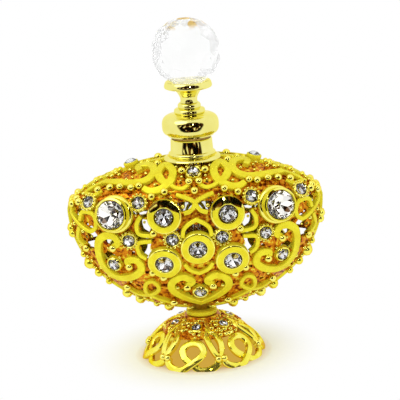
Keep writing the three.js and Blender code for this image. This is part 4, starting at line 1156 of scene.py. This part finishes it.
seal_profile = [
    *raised(SEAL_BOTTOM_Z, (SEAL_BORE, 0), (5.65, 0), (5.8, 0.15)),
    *raised(SEAL_TOP_Z, (5.8, -0.15), (5.65, 0), (SEAL_BORE, 0)),
]
plug_profile = [
    (0, grip_top), (DAUBER_BORE, grip_top),
    *raised(PLUG_TIP_Z, (DAUBER_BORE, 0), (PLUG_RADIUS - 0.35, 0), (PLUG_RADIUS, 0.5)),
    (PLUG_RADIUS, BULB_BOTTOM_Z), (PLUG_FLANGE_RADIUS, BULB_BOTTOM_Z),
    (PLUG_FLANGE_RADIUS, PLUG_TOP_Z), (0, PLUG_TOP_Z),
]
dauber_profile = [
    *raised(DAUBER_TIP_Z, (0, 0), (0.7, 0.2), (1.35, 0.7), (DAUBER_TIP_RADIUS, 1.6), (1.6, 2.3), (1.2, 3.2)),
    (DAUBER_RADIUS, DAUBER_TIP_Z + 4.2), (DAUBER_RADIUS, DAUBER_TOP_Z), (0, DAUBER_TOP_Z),
]
turnings = [
    ("collar_turning", collar_profile, polished_gilt, "bottle", "polished_gold", "neck_collar"),
    ("bulb_turning", bulb_profile, polished_gilt, "stopper", "polished_gold", "stopper_bulb"),
    ("stem_turning", stem_profile, polished_gilt, "stopper", "polished_gold", "stopper_stem"),
    ("cup_turning", cup_profile, polished_gilt, "stopper", "polished_gold", "ball_cup"),
    ("waist_turning", waist_profile, satin_gilt, "bottle", "polished_gold", "waist_ring"),
    ("vial_turning", vial_profile, vial_glass, "bottle", "vial_glass", "glass_vial"),
    # The seal carries painted shade in its colour.
    ("seal_turning", seal_profile, painted_shade_polymer, "seal", "polymer", "seal_washer"),
    ("plug_turning", plug_profile, pale_polymer, "stopper", "polymer", "stopper_plug"),
    ("dauber_turning", dauber_profile, vial_glass, "stopper", "vial_glass", "dauber_rod"),
]
for name, profile, material, body, slot, node in turnings:
    make_piece(name, faced_outward(turn_profile(profile)), [material], (node,), body)

# The ball: rows of flat facets cut from a block, all the same distance from its centre
FACET_DISTANCE = 9.72
facet_rows = [(0, 12, 0), (27, 12, 0.5), (-27, 12, 0.5), (52, 9, 0), (-52, 9, 0), (75, 5, 0.5)]


def cut_ball():
    bm = bmesh.new()
    bmesh.ops.create_cube(bm, size=2 * BALL_RADIUS)
    directions = [Vector((0, 0, 1))]
    for latitude, count, phase in facet_rows:
        tilt = math.radians(latitude)
        for step in range(count):
            turn = math.tau * (step + phase) / count
            directions.append(Vector((
                math.cos(tilt) * math.cos(turn), math.cos(tilt) * math.sin(turn), math.sin(tilt))))
    cuts = [(direction, FACET_DISTANCE) for direction in directions]
    cuts.append((Vector((0, 0, -1)), ball_centre_z - BALL_FLAT_Z))
    for direction, distance in cuts:
        cut_away(bm, direction * distance, direction, bmesh.ops.edgeloop_fill)
    bmesh.ops.remove_doubles(bm, verts=bm.verts, dist=SEAM_MERGE_DISTANCE)
    bmesh.ops.translate(bm, vec=(0, 0, ball_centre_z), verts=bm.verts)
    return faced_outward(bm)


make_piece("ball_cut", cut_ball(), [ball_crystal], ("crystal_ball",), "stopper", smooth=False)


# The foot

def foot_spot(angle, share):
    run = FOOT_RIM_RADIUS - FOOT_TOP_RADIUS
    drop = FOOT_TOP_Z - FOOT_WALL - FOOT_RIM_Z
    bulge = 4 * FOOT_BULGE * share * (1 - share)
    bulging = 4 * FOOT_BULGE * (1 - 2 * share)
    radius = FOOT_TOP_RADIUS + share * run + bulge
    lean = drop - bulging
    sin, cos = math.sin(angle), math.cos(angle)
    point = Vector((radius * sin, -radius * cos, FOOT_TOP_Z - FOOT_WALL - share * drop + bulge))
    normal = Vector((lean * sin, -lean * cos, run + bulging)).normalized()
    return point, normal


# A place in one repeat of the foot's ornament: along is a share of the repeat from its stone.
def foot_place(along, share, repeat):
    return foot_spot(FOOT_PHASE + math.tau * (repeat + along) / FOOT_REPEATS, share)


KNOT = [
    (0, 0.49), (0.133, 0.53), (0.208, 0.66), (0.15, 0.8), (0, 0.93), (-0.15, 1.04), (-0.3, 1.03),
    (-0.42, 0.96), (-0.45, 0.86),
]
KNOT_LIFT = 0.45
KNOT_CROSSING = 0.5
KNOT_CROSSING_REACH = 0.22
LEAF_OUT = [(0.36, 0.06), (0.433, 0.3), (0.55, 0.42), (0.57, 0.62), (0.47, 0.87)]
LEAF_BACK = [(0.47, 0.87), (0.385, 0.68), (0.3, 0.42), (0.317, 0.3), (0.36, 0.2)]
FOOT_BEADS = [(0.45, 0.86), (-0.45, 0.86)]
FOOT_BEAD_RADIUS = 1.15
FOOT_BEAD_LIFT = 0.3
STRAND_STEPS = 6
LEAF_TAPER = 0.8
strand_outline = [
    (-0.95, -0.95), (-1.05, 0.0), (-0.8, 0.3), (0, 0.42), (0.8, 0.3), (1.05, 0.0), (0.95, -0.95),
]
leaf_outline = [
    (-0.8, -0.95), (-0.85, 0.5), (-0.6, 0.8), (0, 0.9), (0.6, 0.8), (0.85, 0.5), (0.8, -0.95),
]


# Spots along a strand of one repeat, raised where it passes over another, or lowered where under it.
def strand_spots(points, repeat, side, lift):
    flat = smooth_line([(side * along, share, 0) for along, share in points], STRAND_STEPS)
    spots = []
    for i, place in enumerate(flat):
        point, normal = foot_place(place.x, place.y, repeat)
        away = min(1, abs(i / (len(flat) - 1) - KNOT_CROSSING) / KNOT_CROSSING_REACH)
        spots.append((point + normal * lift * math.cos(away * math.pi / 2), normal))
    return spots


def lay_foot_strands():
    bm = bmesh.new()
    for repeat in range(FOOT_REPEATS):
        for side in SIDES.values():
            sweep(bm, strand_outline, line_frames(strand_spots(KNOT, repeat, side, side * KNOT_LIFT)))
        for points in (LEAF_OUT, LEAF_BACK):
            sweep(bm, leaf_outline, line_frames(strand_spots(points, repeat, 1, 0), LEAF_TAPER))
    cut_away(bm, (0, 0, 0), (0, 0, -1), bmesh.ops.holes_fill)
    return faced_outward(bm)


def foot_edge(share, height):
    point, normal = foot_spot(0, share)
    place = point + normal * height
    return -place.y, place.z


CROWN_PROUD = 0.3
CROWN_ROOT = -0.6
CROWN_STEPS = 10
POCKET_RADIUS = 1.5
POCKET_DEPTH = 1.1
crown_shares = [FOOT_CROWN_SHARE * step / CROWN_STEPS for step in range(CROWN_STEPS + 1)]
foot_seats = [seat_frame(*foot_place(0, FOOT_STONE_SHARE, repeat)) for repeat in range(FOOT_REPEATS)]


def turn_foot_crown():
    bm = turn_profile([
        *raised(FOOT_TOP_Z, (SCREW_BORE, -FOOT_WALL), (4.4, -FOOT_WALL)),
        *[foot_edge(share, CROWN_ROOT) for share in crown_shares[3:]],
        foot_edge(FOOT_CROWN_SHARE + 0.02, -0.2),
        *[foot_edge(share, CROWN_PROUD) for share in reversed(crown_shares)],
        *raised(FOOT_TOP_Z, (5.2, 0), (SCREW_BORE, 0)),
    ])
    faced_outward(bm)
    for seat in foot_seats:
        pocket = [vert for vert in bm.verts if (vert.co - seat.translation).length < POCKET_RADIUS]
        bmesh.ops.translate(bm, vec=seat.to_3x3().col[2] * -POCKET_DEPTH, verts=pocket)
    return bm


FOOT_GRANULES = 210
FOOT_GRANULE_SIZES = (0.5, 1.05)
FOOT_GRANULE_SPACING = 1.05
FOOT_GRANULE_LIFT = 0.2
FOOT_GRANULE_SHARES = (-0.03, FOOT_CROWN_SHARE - 0.02)
FOOT_GRANULE_TRIES = 20 * FOOT_GRANULES
ORANGE_SHARE = 0.35


def lay_foot_granules():
    scatter = random.Random(5)
    bm = bmesh.new()
    busy = [(seat.translation, setting_reach["foot_collet"]) for seat in foot_seats]
    laid = 0
    for _ in range(FOOT_GRANULE_TRIES):
        angle = scatter.uniform(0, math.tau)
        share = scatter.uniform(*FOOT_GRANULE_SHARES)
        size = scatter.uniform(*FOOT_GRANULE_SIZES)
        point, normal = foot_spot(angle, share)
        if laid < FOOT_GRANULES and all((point - spot).length > clear for spot, clear in busy):
            # A share of the granules, chosen at random, takes the ground finish with its painted shade.
            tone = int(scatter.random() < ORANGE_SHARE)
            set_bead(bm, point, normal, size, FOOT_GRANULE_LIFT, 1, tone)
            busy.append((point, FOOT_GRANULE_SPACING))
            laid += 1
    return bm


def lay_foot_beads():
    bm = bmesh.new()
    for repeat in range(FOOT_REPEATS):
        for along, share in FOOT_BEADS:
            set_bead(bm, *foot_place(along, share, repeat), FOOT_BEAD_RADIUS, FOOT_BEAD_LIFT)
    return bm


foot_collets = lay_settings([(FOOT_STONE, seat) for seat in foot_seats])
make_piece("foot_strands", lay_foot_strands(), [hammered_gilt], ("foot",))
make_piece("foot_crown", turn_foot_crown(), [painted_shade_ground_gilt], ("foot",))
make_piece("foot_granules", lay_foot_granules(), [bead_gilt, painted_shade_ground_gilt], edge_angle=math.pi)
make_piece("foot_collets", foot_collets, [satin_gilt, bead_gilt])
make_piece("foot_beads", lay_foot_beads(), [bead_gilt])
for repeat, seat in enumerate(foot_seats):
    set_stone(f"foot_stone_{repeat + 1}", FOOT_STONE, seat, (f"foot_stone_{repeat + 1}",))

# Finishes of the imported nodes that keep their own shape
node_finishes = {
    "casing_base": plain_brass,
    "vial_cushion": pale_polymer,
    "foot_screw": plain_brass,
    "stopper_stud": plain_brass,
}
for node, material in node_finishes.items():
    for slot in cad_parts[node].material_slots:
        slot.material = material


# Floor, world and lamps, in metres
FLOOR_RADIUS = 0.17
FLOOR_SIDES = 96
FLOOR_FADE = (0.015, 0.038)
# The floor under the foot is painted with the gold's bounce light, in its colour and as a glow.
PAINTED_BOUNCE_REACH = (0.0155, 0.021)
PAINTED_BOUNCE_GLOW = 0.85
FLOOR_ROUGHNESS = 0.7
PALE_FLOOR = (0.975, 0.978, 0.815)
PAINTED_BOUNCE_TONE = (0.72, 0.45, 0.06)
PAINTED_BOUNCE_GLOW_TONE = (0.68, 0.42, 0.06)
WORLD_LEVEL = 0.85
DARK_SIDE_MIDDLE = (0, -0.42, 0)
DARK_SIDE_ABOVE = (0.62, -1.15, 1)
DARK_SIDE_BELOW = (0.62, 0.95, 1)
DARK_SIDE_EDGE = (0.8, 1)
DARK_SIDE_PATCHES = 3.2
DARK_SIDE_TONES = [
    (0.52, (0.003, 0.002, 0.002)), (0.57, (0.12, 0.04, 0.01)),
    (0.61, (0.2, 0.08, 0.02)), (0.65, (0.95, 0.93, 0.88)),
]
LAMP_AIM = Vector((0, 0, 0.045))


# A pale floor that fades to white away from the foot. Under the foot it carries painted bounce light of the
# gold: a warm colour, and a warm glow for camera, gloss and glass rays.
def floor_material():
    material, tree, shader = new_material("pale_floor")
    distance = length_of(tree, object_place(tree))
    warm = span_of(tree, distance, PAINTED_BOUNCE_REACH)
    tones = ramp_of(tree, warm, [(0, PAINTED_BOUNCE_TONE), (1, PALE_FLOOR)])
    fill_inputs(tree, shader, {"Base Color": tones, "Roughness": FLOOR_ROUGHNESS})
    glow_tones = ramp_of(tree, warm, [(0, PAINTED_BOUNCE_GLOW_TONE), (1, WHITE)])
    light = new_node(tree, "ShaderNodeEmission", {"Color": glow_tones})
    fade = span_of(tree, distance, FLOOR_FADE, smooth=True)
    glow = span_of(tree, distance, PAINTED_BOUNCE_REACH, (PAINTED_BOUNCE_GLOW, 0))
    glowing = joined_value(tree, "MAXIMUM", fade, glow)
    showing = showing_rays(tree, tree.nodes.new("ShaderNodeLightPath"))
    share = joined_value(tree, "MULTIPLY", showing, glowing)
    show_mix(tree, "Material Output", share, shader.outputs["BSDF"], light.outputs["Emission"])
    return material


def spread_floor():
    bm = bmesh.new()
    bmesh.ops.create_circle(bm, cap_ends=True, segments=FLOOR_SIDES, radius=FLOOR_RADIUS)
    mesh = bpy.data.meshes.new("floor")
    bm.to_mesh(mesh)
    bm.free()
    mesh.materials.append(floor_material())
    floor = bpy.data.objects.new("floor", mesh)
    bpy.context.scene.collection.objects.link(floor)


spread_floor()


# Where the room is white: off the dark side, an oval in front of the bottle with a longer lower half.
def off_dark_side(tree, slopes, forward):
    from_middle = joined_vector(tree, "SUBTRACT", slopes, DARK_SIDE_MIDDLE)
    above = joined_vector(tree, "MULTIPLY", from_middle, DARK_SIDE_ABOVE)
    below = joined_vector(tree, "MULTIPLY", from_middle, DARK_SIDE_BELOW)
    distance = length_of(tree, joined_vector(tree, "MAXIMUM", above, below))
    edge = span_of(tree, distance, DARK_SIDE_EDGE, smooth=True)
    behind = joined_value(tree, "GREATER_THAN", forward, 0)
    return joined_value(tree, "MAXIMUM", edge, behind)


# A white room with a dark side behind the camera, which only gloss and glass show.
def light_world():
    world = bpy.data.worlds.new("white_room")
    bpy.context.scene.world = world
    world.use_nodes = True
    tree = world.node_tree
    room = tree.nodes["Background"]
    fill_inputs(tree, room, {"Color": (*WHITE, 1), "Strength": WORLD_LEVEL})
    direction = tree.nodes.new("ShaderNodeTexCoord").outputs["Generated"]
    along = new_node(tree, "ShaderNodeSeparateXYZ", {"Vector": direction}).outputs
    across = joined_value(tree, "DIVIDE", along["X"], along["Y"])
    upward = joined_value(tree, "DIVIDE", along["Z"], along["Y"])
    slopes = new_node(tree, "ShaderNodeCombineXYZ", {"X": across, "Y": upward}).outputs["Vector"]
    path = tree.nodes.new("ShaderNodeLightPath")
    bright = off_dark_side(tree, slopes, along["Y"])
    white = joined_value(tree, "MAXIMUM", bright, path.outputs["Is Camera Ray"])
    dark_tones = ramp_of(tree, noise_of(tree, DARK_SIDE_PATCHES, 1, slopes), DARK_SIDE_TONES)
    shown = new_node(tree, "ShaderNodeBackground", {"Color": mixed_colour(tree, white, dark_tones, WHITE)})
    showing = showing_rays(tree, path)
    show_mix(tree, "World Output", showing, room.outputs["Background"], shown.outputs["Background"])


light_world()


def hang_lamp(name, place, size, power, mirrored):
    data = bpy.data.lights.new(name, "AREA")
    data.shape = "DISK"
    data.size = size
    data.energy = power
    lamp = bpy.data.objects.new(name, data)
    lamp.visible_glossy = mirrored
    aim = (LAMP_AIM - Vector(place)).to_track_quat("-Z", "Y")
    lamp.matrix_world = Matrix.Translation(place) @ aim.to_matrix().to_4x4()
    bpy.context.scene.collection.objects.link(lamp)


hang_lamp("key_lamp", (-0.38, -0.3, 0.58), size=0.6, power=1.3, mirrored=True)
hang_lamp("fill_lamp", (0.1, -0.5, 0.06), size=0.4, power=0.6, mirrored=False)
hang_lamp("glint_lamp", (0.10, -0.55, 0.32), size=0.05, power=0.25, mirrored=True)
